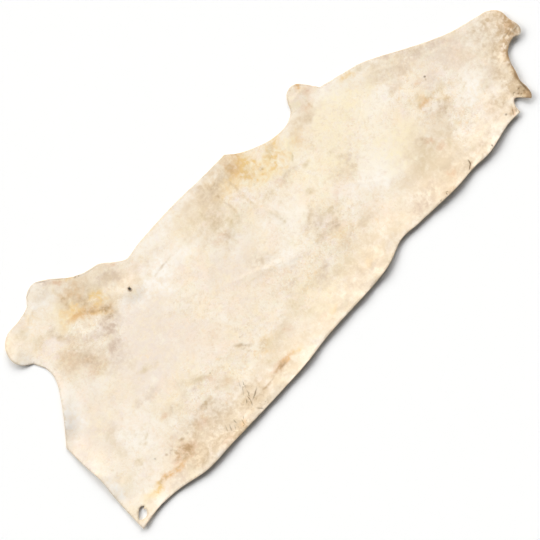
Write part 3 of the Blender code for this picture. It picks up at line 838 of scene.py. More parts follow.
        Mark(Grain.FLECKS, 2104, 52, 28, 26, 0, 0.9),
    ),
    "mottled places": (
        Mark(Grain.MOTTLES, 1180, 160, 280, 190, 0, 0.8),
        Mark(Grain.MOTTLES, 1820, 430, 260, 150, -25, 0.8),
        Mark(Grain.MOTTLES, 1900, 200, 130, 160, 0, 0.8),
        Mark(Grain.MOTTLES, 520, 140, 190, 140, 0, 0.7),
        Mark(Grain.MOTTLES, 780, 130, 100, 100, 0, 0.6),
        Mark(Grain.MOTTLES, 1500, 380, 220, 130, 0, 0.6),
        Mark(Grain.MOTTLES, 400, 640, 230, 150, 0, 0.8),
        Mark(Grain.MOTTLES, 1250, 560, 200, 150, 0, 0.6),
        Mark(Grain.MOTTLES, 720, 400, 160, 110, 0, 0.4),
        Mark(Grain.MOTTLES, 180, 220, 140, 120, 0, 0.3),
    ),
    "wrinkled places": (
        Mark(Grain.WRINKLES, 1960, 220, 300, 230, 0, 0.9),
        Mark(Grain.WRINKLES, 2215, 260, 110, 110, 0, 0.7),
        Mark(Grain.WRINKLES, 420, 720, 260, 170, 0, 0.7),
        Mark(Grain.WRINKLES, 1150, 620, 260, 110, 0, 0.6),
        Mark(Grain.WRINKLES, 1320, 280, 220, 160, 0, 0.5),
        Mark(Grain.WRINKLES, 1560, 620, 120, 90, 0, 0.6),
    ),
}

SMALL_MARK = 12.0  # a mark with a smaller half width, in millimetres, gets points of its own


def linear_colour(colour: str) -> tuple[float, float, float, float]:
    """Turn an sRGB hex colour into linear values of 0 to 1, with a full alpha.

    Args:
        colour: a colour such as "#F9EBD4".

    Returns:
        The colour as four linear values.
    """
    share = np.array([int(colour[first : first + 2], 16) for first in (1, 3, 5)]) / 255.0
    linear = np.where(share <= 0.04045, share / 12.92, ((share + 0.055) / 1.055) ** 2.4)
    return (*linear.tolist(), 1.0)


def start_material(
    name: str,
) -> tuple[bpy.types.Material, bpy.types.NodeTree, bpy.types.Node, Socket]:
    """Start a material from the plain shader.

    Args:
        name: the finish in a maker's words.

    Returns:
        The material, its nodes, its shader, and the point in the piece's own coordinates.
    """
    material = bpy.data.materials.new(name)
    material.use_nodes = True
    tree = material.node_tree
    place = add_node(tree, "ShaderNodeTexCoord").outputs["Object"]
    return material, tree, tree.nodes["Principled BSDF"], place


def add_node(
    tree: bpy.types.NodeTree, kind: str, inputs: dict | None = None, **settings: object
) -> bpy.types.Node:
    """Add a node, set its options, and fill or link its sockets.

    Args:
        tree: the node tree that the node goes into.
        kind: the node's type.
        inputs: for each input's name or number, a value or another node's output.
        **settings: the node's own options.

    Returns:
        The new node.
    """
    node = tree.nodes.new(kind)
    for option, value in settings.items():
        setattr(node, option, value)
    for socket, value in (inputs or {}).items():
        if isinstance(value, Socket):
            tree.links.new(value, node.inputs[socket])
        else:
            node.inputs[socket].default_value = value
    return node


def mix_colours(
    tree: bpy.types.NodeTree, share: Socket, first: Socket | tuple, second: Socket | tuple
) -> Socket:
    """Mix two colours, as first * (1 - share) + second * share.

    Args:
        tree: the node tree that the mix goes into.
        share: how much of the second colour there is, from 0 to 1.
        first: a linear colour or its socket.
        second: a linear colour or its socket.

    Returns:
        The mixed colour's socket.
    """
    mix = add_node(tree, "ShaderNodeMix", {0: share, 6: first, 7: second}, data_type="RGBA")
    return mix.outputs[2]


def map_value(
    tree: bpy.types.NodeTree,
    value: Socket,
    start: float = 0.0,
    full: Socket | float = 1.0,
    low: float = 0.0,
    high: float = 1.0,
    soft: bool = False,
) -> Socket:
    """Stretch a value so that start becomes low and full becomes high, and hold it there.

    Args:
        tree: the node tree that the stretch goes into.
        value: the value's socket.
        start: the value that becomes low.
        full: the value, or its socket, that becomes high.
        low: the result at start.
        high: the result at full.
        soft: whether the result leaves low and reaches high without a corner.

    Returns:
        The result's socket.
    """
    limits = {"From Min": start, "From Max": full, "To Min": low, "To Max": high}
    easing = "SMOOTHSTEP" if soft else "LINEAR"
    stretch = add_node(
        tree, "ShaderNodeMapRange", {"Value": value, **limits}, interpolation_type=easing
    )
    return stretch.outputs[0]


def product(
    tree: bpy.types.NodeTree, first: Socket, second: Socket, hold: bool = True
) -> Socket:
    """Multiply two values.

    Args:
        tree: the node tree that the product goes into.
        first: a value's socket.
        second: a value's socket.
        hold: whether the product is held between 0 and 1.

    Returns:
        The product's socket.
    """
    inputs = {0: first, 1: second}
    return add_node(tree, "ShaderNodeMath", inputs, operation="MULTIPLY", use_clamp=hold).outputs[0]


def noise_at(
    tree: bpy.types.NodeTree,
    place: Socket,
    size: float,
    detail: float,
    roughness: float = 0.5,
    distortion: float = 0.0,
    ridged: bool = False,
) -> Socket:
    """Make an uneven noise of 0 to 1.

    Args:
        tree: the node tree that the noise goes into.
        place: where it is taken, in metres.
        size: the size of its patches, in millimetres.
        detail: how many times finer noises are added to it.
        roughness: how strong these are.
        distortion: how far it is bent out of shape.
        ridged: whether it runs in ridges.

    Returns:
        The noise's socket.
    """
    inputs = {
        "Vector": place,
        "Scale": 1.0 / (size * MM),
        "Detail": detail,
        "Roughness": roughness,
        "Distortion": distortion,
    }
    kind = "RIDGED_MULTIFRACTAL" if ridged else "FBM"
    return add_node(tree, "ShaderNodeTexNoise", inputs, noise_type=kind).outputs[0]


def mask_value(tree: bpy.types.NodeTree, name: str) -> Socket:
    """Return the value of one of the piece's own masks."""
    return add_node(tree, "ShaderNodeAttribute", attribute_name=name.lower()).outputs["Fac"]


def bump(
    tree: bpy.types.NodeTree,
    height: Socket,
    strength: float,
    distance: float,
    normal: Socket | None = None,
) -> Socket:
    """Raise the surface by a height map.

    Args:
        tree: the node tree that the bump goes into.
        height: the height map, from 0 to 1.
        strength: how much of it counts.
        distance: what 1 stands for, in millimetres.
        normal: the normal over which this one lies, if there is one.

    Returns:
        The normal's socket.
    """
    inputs = {"Height": height, "Strength": strength, "Distance": distance * MM}
    if normal is not None:
        inputs["Normal"] = normal
    return add_node(tree, "ShaderNodeBump", inputs).outputs[0]


def soft_step(value: np.ndarray) -> np.ndarray:
    """Return 3t^2 - 2t^3, with t the value held between 0 and 1."""
    held = np.clip(value, 0.0, 1.0)
    return held * held * (3.0 - 2.0 * held)


def soft_noise(points: np.ndarray, wavelength: float, seed: Seed) -> np.ndarray:
    """Return smooth random values of -1 to 1, alike for one place whatever the other points.

    Random values sit on a square grid of half a wavelength, which is turned against the
    hide's own directions, and a soft step blends the four round each point.

    Args:
        points: places in millimetres, one row each.
        wavelength: from one high place to the next, in millimetres.
        seed: the grid's seed.

    Returns:
        One value for each point.
    """
    repeat = 256
    grid_turn = 31.0
    values = np.random.default_rng(seed.value).uniform(-1.0, 1.0, (repeat, repeat))
    turn = math.radians(grid_turn)
    across = np.array(((math.cos(turn), -math.sin(turn)), (math.sin(turn), math.cos(turn))))
    cell = points @ across / (wavelength / 2.0)
    low = np.floor(cell).astype(int)
    u, v = soft_step(cell - low).T
    i, j = (low % repeat).T
    k, m = ((low + 1) % repeat).T
    near = values[i, j] * (1.0 - u) + values[k, j] * u
    far = values[i, m] * (1.0 - u) + values[k, m] * u
    return near * (1.0 - v) + far * v


def smooth_run(landmarks: tuple[Landmark, ...], spacing: float) -> np.ndarray:
    """Return evenly spaced points along a smooth curve through the landmarks, without the last.

    The curve is a centripetal Catmull-Rom spline, which passes through every landmark and
    makes no loops where they are unevenly spaced.

    Args:
        landmarks: the points that the curve passes through.
        spacing: the distance between two points of the result, in millimetres.

    Returns:
        The points, one row each, in millimetres.
    """
    samples = 24
    through = np.array(landmarks, dtype=float)
    steps = np.diff(through, axis=0)
    gaps = np.sqrt(np.hypot(steps[:, 0], steps[:, 1]))[:, None]
    slopes = steps / gaps
    inner = (
        slopes[:-1] + slopes[1:] - (steps[:-1] + steps[1:]) / (gaps[:-1] + gaps[1:])
    )
    tangents = np.vstack((slopes[:1], inner, slopes[-1:]))

    share = np.linspace(0.0, 1.0, samples, endpoint=False)[None, :, None]
    start, end = through[:-1, None, :], through[1:, None, :]
    leave, arrive = (gaps * tangents[:-1])[:, None, :], (gaps * tangents[1:])[:, None, :]
    curve = (
        start * (2 * share**3 - 3 * share**2 + 1)
        + leave * (share**3 - 2 * share**2 + share)
        + end * (3 * share**2 - 2 * share**3)
        + arrive * (share**3 - share**2)
    )
    curve = np.vstack((curve.reshape(-1, 2), through[-1:]))

    lengths = np.hypot(*np.diff(curve, axis=0).T)
    distance = np.concatenate(([0.0], np.cumsum(lengths)))
    count = max(2, round(distance[-1] / spacing))
    stops = np.linspace(0.0, distance[-1], count, endpoint=False)
    return np.column_stack([np.interp(stops, distance, curve[:, axis]) for axis in (0, 1)])


def inside(points: np.ndarray, loop: np.ndarray) -> np.ndarray:
    """Find which points a closed loop holds, by counting the edges to the right of each.

    Args:
        points: the points to test, one row each.
        loop: the corners of the loop in order.

    Returns:
        For each point, whether it is inside.
    """
    block_length = 2000
    first, second = loop, np.roll(loop, -1, axis=0)
    rise = np.where(second[:, 1] == first[:, 1], 1.0, second[:, 1] - first[:, 1])
    run = (second[:, 0] - first[:, 0]) / rise
    held = []
    for block in np.array_split(points, 1 + len(points) // block_length):
        x, y = block[:, :1], block[:, 1:]
        straddles = (first[:, 1] > y) != (second[:, 1] > y)
        crossing = first[:, 0] + (y - first[:, 1]) * run
        held.append(np.count_nonzero(straddles & (x < crossing), axis=1) % 2 == 1)
    return np.concatenate(held)


def uncrowded(points: np.ndarray, placed: np.ndarray, distance: float) -> np.ndarray:
    """Return the points that have no placed point within a distance.

    Both are sorted into square cells as wide as the distance, and a point stays if its own
    cell and the eight round it hold nothing.

    Args:
        points: the points to sift, in millimetres.
        placed: the points to keep clear of.
        distance: the width of a cell.

    Returns:
        The points that stay.
    """
    row_length = 1_000_000
    taken = np.floor(placed / distance).astype(np.int64)
    around = np.array([(i, j) for i in (-1, 0, 1) for j in (-1, 0, 1)])
    taken = (taken[:, None, :] + around[None, :, :]).reshape(-1, 2)
    own = np.floor(points / distance).astype(np.int64)
    full = np.isin(own @ (row_length, 1), np.unique(taken @ (row_length, 1)))
    return points[~full]


def lattice(low: np.ndarray, high: np.ndarray, spacing: float) -> np.ndarray:
    """Lay a staggered lattice of points over a box, each in the middle of six others.

    Args:
        low: the box's lowest corner.
        high: its highest corner.
        spacing: between two neighbours.

    Returns:
        The points, one row each.
    """
    rows = np.arange(low[1], high[1], spacing * math.sqrt(3.0) / 2.0)
    columns = np.arange(low[0], high[0], spacing)
    along, across = np.meshgrid(columns, rows)
    along[1::2] += spacing / 2.0
    return np.column_stack((along.ravel(), across.ravel()))


def oval_distance(mark: Lift | Mark, points: np.ndarray) -> np.ndarray:
    """Measure each point's distance from an oval's middle, 1 on the oval itself.

    It is the root of (lengthwise / half length)^2 + (crosswise / half width)^2.

    Args:
        mark: the oval.
        points: places in millimetres, one row each.

    Returns:
        One distance for each point.
    """
    turn = math.radians(mark.turn)
    offset = points - (mark.along, mark.across)
    lengthwise = offset @ (math.cos(turn), math.sin(turn)) / mark.half_length
    crosswise = offset @ (-math.sin(turn), math.cos(turn)) / mark.half_width
    return np.hypot(lengthwise, crosswise)


@dataclass(frozen=True)
class CutOutline:
    """The cut edge of the hide and its two holes.

    Attributes:
        rim_spacing: between two points of the cut edge, in millimetres.
        hole_spacing: between two points round a hole.
        wobble: how far the knife strays from the drawn line.
        wobble_wave: from one stray to the next.
    """

    rim_spacing: float = 4.0
    hole_spacing: float = 2.0
    wobble: float = 0.45
    wobble_wave: float = 22.0

    def loops(self) -> list[np.ndarray]:
        """Draw the cut edge and the holes as the knife left them.

        Returns:
            The cut edge, the tail hole and the grub hole, each counter-clockwise.
        """
        edge = np.vstack([smooth_run(run, self.rim_spacing) for run in EDGE_RUNS.values()])
        drawn = (edge, smooth_run(TAIL_HOLE, self.hole_spacing), self.grub_hole())
        return [
            self.shifted(loop, self.wobble * soft_noise(loop, self.wobble_wave, Seed.KNIFE))
            for loop in drawn
        ]

    def grub_hole(self) -> np.ndarray:
        """Draw the small oval hole: its middle plus its half sizes times a circle.

        Returns:
            The points round it, counter-clockwise.
        """
        count = round(math.tau * GRUB_HOLE.half_width / (0.6 * self.hole_spacing))
        angle = np.linspace(0.0, math.tau, count, endpoint=False)
        return np.column_stack(
            (
                GRUB_HOLE.along + GRUB_HOLE.half_length * np.cos(angle),
                GRUB_HOLE.across + GRUB_HOLE.half_width * np.sin(angle),
            )
        )

    @staticmethod
    def shifted(loop: np.ndarray, inwards: np.ndarray | float) -> np.ndarray:
        """Return a counter-clockwise loop with each point moved towards the loop's inside.

        The direction at a point is a quarter turn left of the line between its neighbours.

        Args:
            loop: the points, in millimetres.
            inwards: how far each point moves, below 0 for outwards.

        Returns:
            The moved points.
        """
        ahead = np.roll(loop, -1, axis=0) - np.roll(loop, 1, axis=0)
        ahead /= np.hypot(ahead[:, 0], ahead[:, 1])[:, None]
        left = np.column_stack((-ahead[:, 1], ahead[:, 0]))
        return loop + left * np.reshape(inwards, (-1, 1))


@dataclass(frozen=True)
class LaidShape:
    """How the sheet lies: its lifted rims and bags, its creases and its uneven face.

    Attributes:
        rim_unevenness: how much a lift rises and falls along itself, as a share of its height.
        face_unevenness: the height of the soft swells all over the face, in millimetres.
        crease_waver: how far a crease strays from its line.
        rim_waves: the lengths of the two noises that raise and lower the rims.
        swell_waves: the lengths of the three noises that make the swells.
        waver_wave: from one stray of a crease to the next.
        depth_wave: from one deep stretch of a crease to the next.
    """

    rim_unevenness: float = 0.24
    face_unevenness: float = 0.55
    crease_waver: float = 3.0
    rim_waves: tuple[float, float] = (120.0, 46.0)
    swell_waves: tuple[float, float, float] = (170.0, 64.0, 30.0)
    waver_wave: float = 48.0
    depth_wave: float = 38.0

    def lifts(self, points: np.ndarray) -> np.ndarray:
        """Work out how far the underside stands off the floor.

        Each lift adds height * (1 - r^2)^2, with r the distance from its middle in half sizes,
        and two slow noises raise and lower the sum along the rims.

        Args:
            points: places in millimetres, one row each.

        Returns:
            One height for each point, in millimetres.
        """
        total = np.zeros(len(points))
        for lift in LIFTS:
            reach = np.minimum(oval_distance(lift, points), 1.0)
            total += lift.height * (1.0 - reach**2) ** 2
        long_wave, short_wave = self.rim_waves
        uneven = soft_noise(points, long_wave, Seed.RIMS)
        uneven += 0.5 * soft_noise(points, short_wave, Seed.FINE_RIMS)
        return total * (1.0 + self.rim_unevenness * uneven)

    def face(self, points: np.ndarray) -> np.ndarray:
        """Work out the creases and swells of the face.

        A crease adds height * (1 - d^2)^2 * (1 - e^4), with d the distance from its bowed and
        wavering line in half widths, and e from -1 to 1 between its ends.

        Args:
            points: places in millimetres, one row each.

        Returns:
            One height for each point, in millimetres, below 0 in a trough.
        """
        long_wave, middle_wave, short_wave = self.swell_waves
        swells = 0.55 * soft_noise(points, long_wave, Seed.SWELLS)
        swells += 0.30 * soft_noise(points, middle_wave, Seed.MIDDLE_SWELLS)
        swells += 0.15 * soft_noise(points, short_wave, Seed.FINE_SWELLS)
        total = self.face_unevenness * (0.5 + 0.5 * swells)
        waver = self.crease_waver * soft_noise(points, self.waver_wave, Seed.CREASE_WAVER)
        vary = 1.0 + 0.45 * soft_noise(points, self.depth_wave, Seed.CREASE_DEPTH)
        for crease in CREASES.values():
            start = np.array(crease.start, dtype=float)
            line = np.array(crease.end, dtype=float) - start
            length = float(np.hypot(*line))
            lengthwise = (points - start) @ line / length**2
            aside = (points - start) @ (-line[1], line[0]) / length
            bowed = aside - crease.bow * 4.0 * lengthwise * (1.0 - lengthwise) + waver
            width = np.minimum(np.abs(bowed) / crease.half_width, 1.0)
            ends = np.minimum(np.abs(2.0 * lengthwise - 1.0), 1.0)
            total += crease.height * vary * (1.0 - width**2) ** 2 * (1.0 - ends**4)
        return total

    def underside(self, points: np.ndarray) -> np.ndarray:
        """Return the underside's height: the lifts, and the face where it bulges upwards."""
        return self.lifts(points) + np.maximum(self.face(points), 0.0)

    def own_points(self) -> np.ndarray:
        """Lay rows of points along every crease, so that each keeps its shape.

        Returns:
            The points in millimetres, one row each.
        """
        spacing = 5.0
        rows_across = (-1.0, -0.6, -0.25, 0.25, 0.6, 1.0)
        rows = []
        for crease in CREASES.values():
            start, end = np.array(crease.start, dtype=float), np.array(crease.end, dtype=float)
            line = end - start
            length = float(np.hypot(*line))
            share = np.linspace(0.0, 1.0, round(length / spacing))[:, None]
            left = np.array((-line[1], line[0])) / length
            middle = start + share * line + crease.bow * 4.0 * share * (1.0 - share) * left
            waver = soft_noise(middle, self.waver_wave, Seed.CREASE_WAVER)
            middle -= self.crease_waver * waver[:, None] * left
            for row in rows_across:
                rows.append(middle + row * crease.half_width * left)
        return np.vstack(rows)


@dataclass(frozen=True)
class MarkMasks:
    """The share of each tone and trait at a point of the hide, from the table of marks.

    Attributes:
        stray: how far a mark's outline strays, as a share of its half width.
        widest_stray: the most that it strays, in millimetres.
        broad_wave: from one broad stray to the next.
        fine_wave: from one fine stray to the next.
        fine_share: the fine stray as a share of the broad one.
        core: the part of its half sizes within which a mark is at its strongest.
        reach: the part of its half sizes at which it ends.
        cover: the part of its half sizes within which a small mark has points of its own.
    """

    stray: float = 0.6
    widest_stray: float = 30.0
    broad_wave: float = 76.0
    fine_wave: float = 22.0
    fine_share: float = 0.6
    core: float = 0.2
    reach: float = 1.4
    cover: float = 1.3

    def all(self, points: np.ndarray) -> dict[Tone | Grain, np.ndarray]:
        """Work out a mask of 0 to 1 for each tone and trait.

        A mark is a soft step that falls from its strength to 0 between its core and its reach.
        Two noises shift the points first, so that its outline is uneven, and marks of one kind
        join as 1 - (1 - a)(1 - b).

        Args:
            points: places in millimetres, one row each.

        Returns:
            The masks by tone and trait.
        """
        broad_seeds = (Seed.MARKS_ALONG, Seed.MARKS_ACROSS)
        fine_seeds = (Seed.FINE_MARKS_ALONG, Seed.FINE_MARKS_ACROSS)
        broad = np.column_stack([soft_noise(points, self.broad_wave, seed) for seed in broad_seeds])
        fine = np.column_stack([soft_noise(points, self.fine_wave, seed) for seed in fine_seeds])
        bare = {kind: np.ones(len(points)) for kind in (*Tone, *Grain)}
        for mark in (mark for region in MARKS.values() for mark in region):
            size = min(mark.half_width, mark.half_length)
            shift = min(self.stray * size, self.widest_stray)
            moved = points + shift * broad + self.fine_share * shift * fine
            fall = (self.reach - oval_distance(mark, moved)) / (self.reach - self.core)
            bare[mark.kind] *= 1.0 - mark.strength * soft_step(fall)
        return {kind: 1.0 - left for kind, left in bare.items()}

    def own_points(self) -> np.ndarray:
        """Lay a small grid of points on every small mark, so that it keeps its outline.

        Returns:
            The points in millimetres, one row each.
        """
        finest = 1.1
        grids = []
        for mark in (mark for region in MARKS.values() for mark in region):
            if min(mark.half_width, mark.half_length) >= SMALL_MARK:
                continue
            turn = math.radians(mark.turn)
            fine = max(finest, min(mark.half_width, mark.half_length) / 2.5)
            length, width = self.cover * mark.half_length, self.cover * mark.half_width
            u, v = np.meshgrid(
                np.linspace(-length, length, max(3, round(2.0 * length / (1.4 * fine)))),
                np.linspace(-width, width, max(3, round(2.0 * width / fine))),
            )
            grids.append(
                np.column_stack(
                    (
                        mark.along + u.ravel() * math.cos(turn) - v.ravel() * math.sin(turn),
                        mark.across + u.ravel() * math.sin(turn) + v.ravel() * math.cos(turn),
                    )
                )
            )
        return np.vstack(grids)


@dataclass(frozen=True)
class GrainFace:
    """Vegetable tanned cattle leather, undyed, with its own grain.

    The skin's hair side, tanned with bark, washed and hung to dry. It is a warm cream that
    reads as matt with a faint gloss, clouded by fat, water and dirt, with fine pores and, on
    the neck and flanks, growth wrinkles. Some of its marks are painted light and shade: pale
    marks on the slopes of lifted rims, thin dark lines and a dark ring at the neck notch, the
    shank's edge and the grub hole, and in part the darker bands along the back edge and the
    darker rim.

    Attributes:
        colour: the clean leather between the marks.
        drifts: the colours that it drifts to, from the broadest patches to the finest.
        broad_drift: the size from which patches are as strong in places without mottles.
        islands: the sizes of the islands that the marks break up into, in millimetres.
        grain: between two swells of the grain.
        pore: between two hair pores. Real ones are 0.3 mm apart, too fine to show, so
            they are drawn as the coarser cells that they form.
        wrinkle: between two growth wrinkles.
        fleck: between two dark hair roots.
        rim: the colour of the outermost few millimetres, partly their harder, darker dry leather
            and partly painted shade along the cut.
        rim_share: how far these take on that colour.
        roughness: of the clean leather.
        roughness_drift: how far it goes below and above that.
        gloss: the strength of its faint gloss.
        mottle_swing: the strength of the fine drifts without mottles and with them.
        island_limits: the noise between which islands fade in.
        fleck_sizes: the smallest and largest hair root, as a share of their distance.
        rim_swing: the least and most of the rim's colour, as a share of rim_share.
        bare_wrinkle: the depth of wrinkles where the hide isn't marked with them.
        pore_depth: in millimetres.
        grain_depth: in millimetres.
        wrinkle_depth: in millimetres.
    """

    colour: str = "#F5E6CF"
    drifts: tuple[Drift, ...] = (
        Drift(160.0, "#FAF1E2", 0.44, 0.62, 0.75),
        Drift(120.0, "#FAE8C4", 0.48, 0.66, 0.55),
        Drift(90.0, "#F9E2CC", 0.49, 0.66, 0.50),
        Drift(60.0, "#EDDED2", 0.50, 0.68, 0.45),
        Drift(44.0, "#EFE8CC", 0.50, 0.68, 0.40),
        Drift(34.0, "#E8D1AC", 0.48, 0.68, 0.50),
        Drift(28.0, "#F1DFD8", 0.52, 0.70, 0.40),
        Drift(22.0, "#DCC9A9", 0.52, 0.70, 0.45),
        Drift(16.0, "#EFD0A0", 0.54, 0.70, 0.45),
        Drift(11.0, "#D9BE9C", 0.52, 0.70, 0.45),
        Drift(5.0, "#FDF8EE", 0.48, 0.66, 0.45),
    )
    broad_drift: float = 50.0
    islands: tuple[float, float] = (40.0, 13.0)
    grain: float = 7.0
    pore: float = 1.7
    wrinkle: float = 17.0
    fleck: float = 8.0
    rim: str = "#8F7456"
    rim_share: float = 0.36
    roughness: float = 0.6
    roughness_drift: tuple[float, float] = (-0.06, 0.08)
    gloss: float = 0.4
    mottle_swing: tuple[float, float] = (0.6, 1.4)
    island_limits: tuple[float, float] = (0.36, 0.64)
    fleck_sizes: tuple[float, float] = (0.06, 0.40)
    rim_swing: tuple[float, float] = (0.6, 1.4)
    bare_wrinkle: float = 0.15
    pore_depth: float = 0.12
    grain_depth: float = 0.35
    wrinkle_depth: float = 0.6

    def material(self) -> bpy.types.Material:
        """Make the finish of the grain face: its colours, its marks, its rim and its relief.

        Returns:
            The material, in which the mesh's masks say where the marks are.
        """
        material, tree, shader, place = start_material("undyed_grain_leather")
        colour = self.base_colour(tree, place)
        patterns = [self.breakup(tree, place, number) for number in range(3)]
        for number, tone in enumerate(Tone):
            colour = self.toned(tree, colour, patterns[number % len(patterns)], tone)
        colour = self.flecked(tree, place, colour)
        colour = self.rim_darkened_and_shaded(tree, colour, patterns[1])
        tree.links.new(colour, shader.inputs["Base Color"])
        tree.links.new(self.relief(tree, place), shader.inputs["Normal"])
        low, high = (self.roughness + drift for drift in self.roughness_drift)
        rough = map_value(tree, patterns[0], low=low, high=high)
        tree.links.new(rough, shader.inputs["Roughness"])
        shader.inputs["IOR"].default_value = LEATHER_IOR
        shader.inputs["Specular IOR Level"].default_value = self.gloss
        return material

    @staticmethod
    def noise(
        tree: bpy.types.NodeTree, place: Socket, size: float, number: int, detail: float = 6.0
    ) -> Socket:
        """Make an uneven noise of 0 to 1, another one for each number.

        Args:
            tree: the material's nodes.
            place: the point in the hide's own coordinates, in metres.
            size: the size of its patches, in millimetres.
            number: picks a stretch of the noise of its own.
            detail: how many times finer noises are added to it.

        Returns:
            The noise's socket.
        """
        stretch = (7.3 * number, 3.1 * number, 0.0)
        moved = add_node(tree, "ShaderNodeVectorMath", {0: place, 1: stretch}).outputs[0]
        return noise_at(tree, moved, size, detail, roughness=0.6, distortion=0.5)

    def base_colour(self, tree: bpy.types.NodeTree, place: Socket) -> Socket:
        """Mix the clean leather's colour with all its drifts.

        Args:
            tree: the material's nodes.
            place: the point in the hide's own coordinates, in metres.

        Returns:
            The colour's socket.
        """
        colour = linear_colour(self.colour)
        mottles = mask_value(tree, Grain.MOTTLES.name)
        plain, mottled = self.mottle_swing
        for number, drift in enumerate(self.drifts):
            noise = self.noise(tree, place, drift.size, number)
            amount = map_value(tree, noise, drift.start, drift.full, high=drift.share, soft=True)
            if drift.size < self.broad_drift:
                amount = product(tree, amount, map_value(tree, mottles, low=plain, high=mottled))
            colour = mix_colours(tree, amount, colour, linear_colour(drift.colour))
        return colour

    def breakup(self, tree: bpy.types.NodeTree, place: Socket, number: int) -> Socket:
        """Make a value of 0 to 1 that breaks marks up into islands, the mean of two noises.

        Args:
            tree: the material's nodes.
            place: the point in the hide's own coordinates, in metres.
            number: which pattern of islands.

        Returns:
            The value's socket.
        """
        start, full = self.island_limits
        total = 0.0
        for size in self.islands:
            noise = self.noise(tree, place, size, 11 + number, detail=1.5)
            half = map_value(tree, noise, start, full, high=0.5)
            total = add_node(tree, "ShaderNodeMath", {0: total, 1: half}).outputs[0]
        return total

    def toned(
        self, tree: bpy.types.NodeTree, colour: Socket, pattern: Socket, tone: Tone
    ) -> Socket:
        """Lay a tone over the colour where the hide is marked with that tone.

        The mask is multiplied by 1 plus the pattern's swing, which is as wide as the tone's
        own breakup says.

        Args:
            tree: the material's nodes.
            colour: the colour so far.
            pattern: the value that breaks up the marks.
            tone: which tone.

        Returns:
            The new colour's socket.
        """
        mask = mask_value(tree, tone.name)
        least, most = 1.0 - tone.value.breakup, 1.0 + tone.value.breakup
        share = product(tree, mask, map_value(tree, pattern, low=least, high=most))
        return mix_colours(tree, share, colour, linear_colour(tone.value.colour))

    def flecked(self, tree: bpy.types.NodeTree, place: Socket, colour: Socket) -> Socket:
        """Dot the colour with small dark hair roots where the hide is marked with flecks.

        Each cell of a scattered pattern has a dot round its own point, in a random size.

        Args:
            tree: the material's nodes.
            place: the point in the hide's own coordinates, in metres.
            colour: the colour so far.

        Returns:
            The new colour's socket.
        """
        inputs = {"Vector": place, "Scale": 1.0 / (self.fleck * MM)}
        cells = add_node(tree, "ShaderNodeTexVoronoi", inputs)
        chance = add_node(tree, "ShaderNodeSeparateColor", {0: cells.outputs["Color"]}).outputs[0]
        least, most = self.fleck_sizes
        reach = map_value(tree, chance, low=least, high=most)
        dot = map_value(tree, cells.outputs["Distance"], full=reach, low=1.0, high=0.0, soft=True)
        share = product(tree, dot, mask_value(tree, Grain.FLECKS.name))
        return mix_colours(tree, share, colour, linear_colour(Tone.DARK.value.colour))

    def rim_darkened_and_shaded(self, tree: bpy.types.NodeTree, colour: Socket, pattern: Socket) -> Socket:
        """Darken the outermost few millimetres, unevenly so by the pattern.

        Args:
            tree: the material's nodes.
            colour: the colour so far.
            pattern: the value that makes the rim uneven.

        Returns:
            The new colour's socket.
        """
        # Painted shade in part: the darker rim also stands in for the shade along the cut edge.
        mask = mask_value(tree, RIM_MASK)
        least, most = (swing * self.rim_share for swing in self.rim_swing)
        share = product(tree, mask, map_value(tree, pattern, low=least, high=most))
        return mix_colours(tree, share, colour, linear_colour(self.rim))

    def relief(self, tree: bpy.types.NodeTree, place: Socket) -> Socket:
        """Make the normal over pores, fine grain and growth wrinkles.

        Args:
            tree: the material's nodes.
            place: the point in the hide's own coordinates, in metres.

        Returns:
            The normal's socket.
        """
        inputs = {"Vector": place, "Scale": 1.0 / (self.pore * MM)}
        pores = add_node(tree, "ShaderNodeTexVoronoi", inputs, feature="SMOOTH_F1")
        fine = bump(tree, pores.outputs["Distance"], 0.5, self.pore_depth)
        swells = noise_at(tree, place, self.grain, detail=3.0)
        medium = bump(tree, swells, 0.6, self.grain_depth, fine)
        folds = noise_at(tree, place, self.wrinkle, detail=3.0, distortion=1.2, ridged=True)
        mask = mask_value(tree, Grain.WRINKLES.name)
        height = product(tree, folds, map_value(tree, mask, low=self.bare_wrinkle), hold=False)
        return bump(tree, height, 0.6, self.wrinkle_depth, medium)


@dataclass(frozen=True)
class CutEdge:
    """The cut through the same leather, made with a knife and left raw.

    Its fibres lie in felted layers, so the edge is a matt buff with darker streaks along it,
    paler in the thin grain layer at the top.

    Attributes:
        colour: the fibres.
        streak: the darker layers.
        fibre: the layers' thickness, in millimetres.
        stretch: their thickness as a share of their length.
        depth: of the grooves between them, in millimetres.
        roughness: of the raw fibres.
    """

    colour: str = "#E3CDA9"
    streak: str = "#BFA078"
    fibre: float = 0.5
    stretch: float = 0.12
    depth: float = 0.2
    roughness: float = 0.85

    def material(self) -> bpy.types.Material:
        """Make the finish of the cut edge: streaked layers, darker under dark spots and painted
        shadow.

        Returns:
            The material.
        """
        material, tree, shader, place = start_material("raw_cut_leather_edge")
        along = (self.stretch, self.stretch, 1.0)
        flat = add_node(tree, "ShaderNodeMapping", {"Vector": place, "Scale": along}).outputs[0]
        layers = noise_at(tree, flat, self.fibre, detail=4.0)
        fibres, streaks = linear_colour(self.colour), linear_colour(self.streak)
        colour = mix_colours(tree, layers, fibres, streaks)
        # Painted shadow: where dark marks that are painted shadow reach the cut, at the grub hole,
        # the neck notch and the shank's top edge, the cut darkens too; so it does under dark hair
        # roots.
        dark_spots_and_painted_shadow = mask_value(tree, Tone.DARK.name)
        colour = mix_colours(tree, dark_spots_and_painted_shadow, colour, linear_colour(Tone.DARK.value.colour))
        tree.links.new(colour, shader.inputs["Base Color"])
        tree.links.new(bump(tree, layers, 0.6, self.depth), shader.inputs["Normal"])
        shader.inputs["Roughness"].default_value = self.roughness
        shader.inputs["IOR"].default_value = LEATHER_IOR
        return material


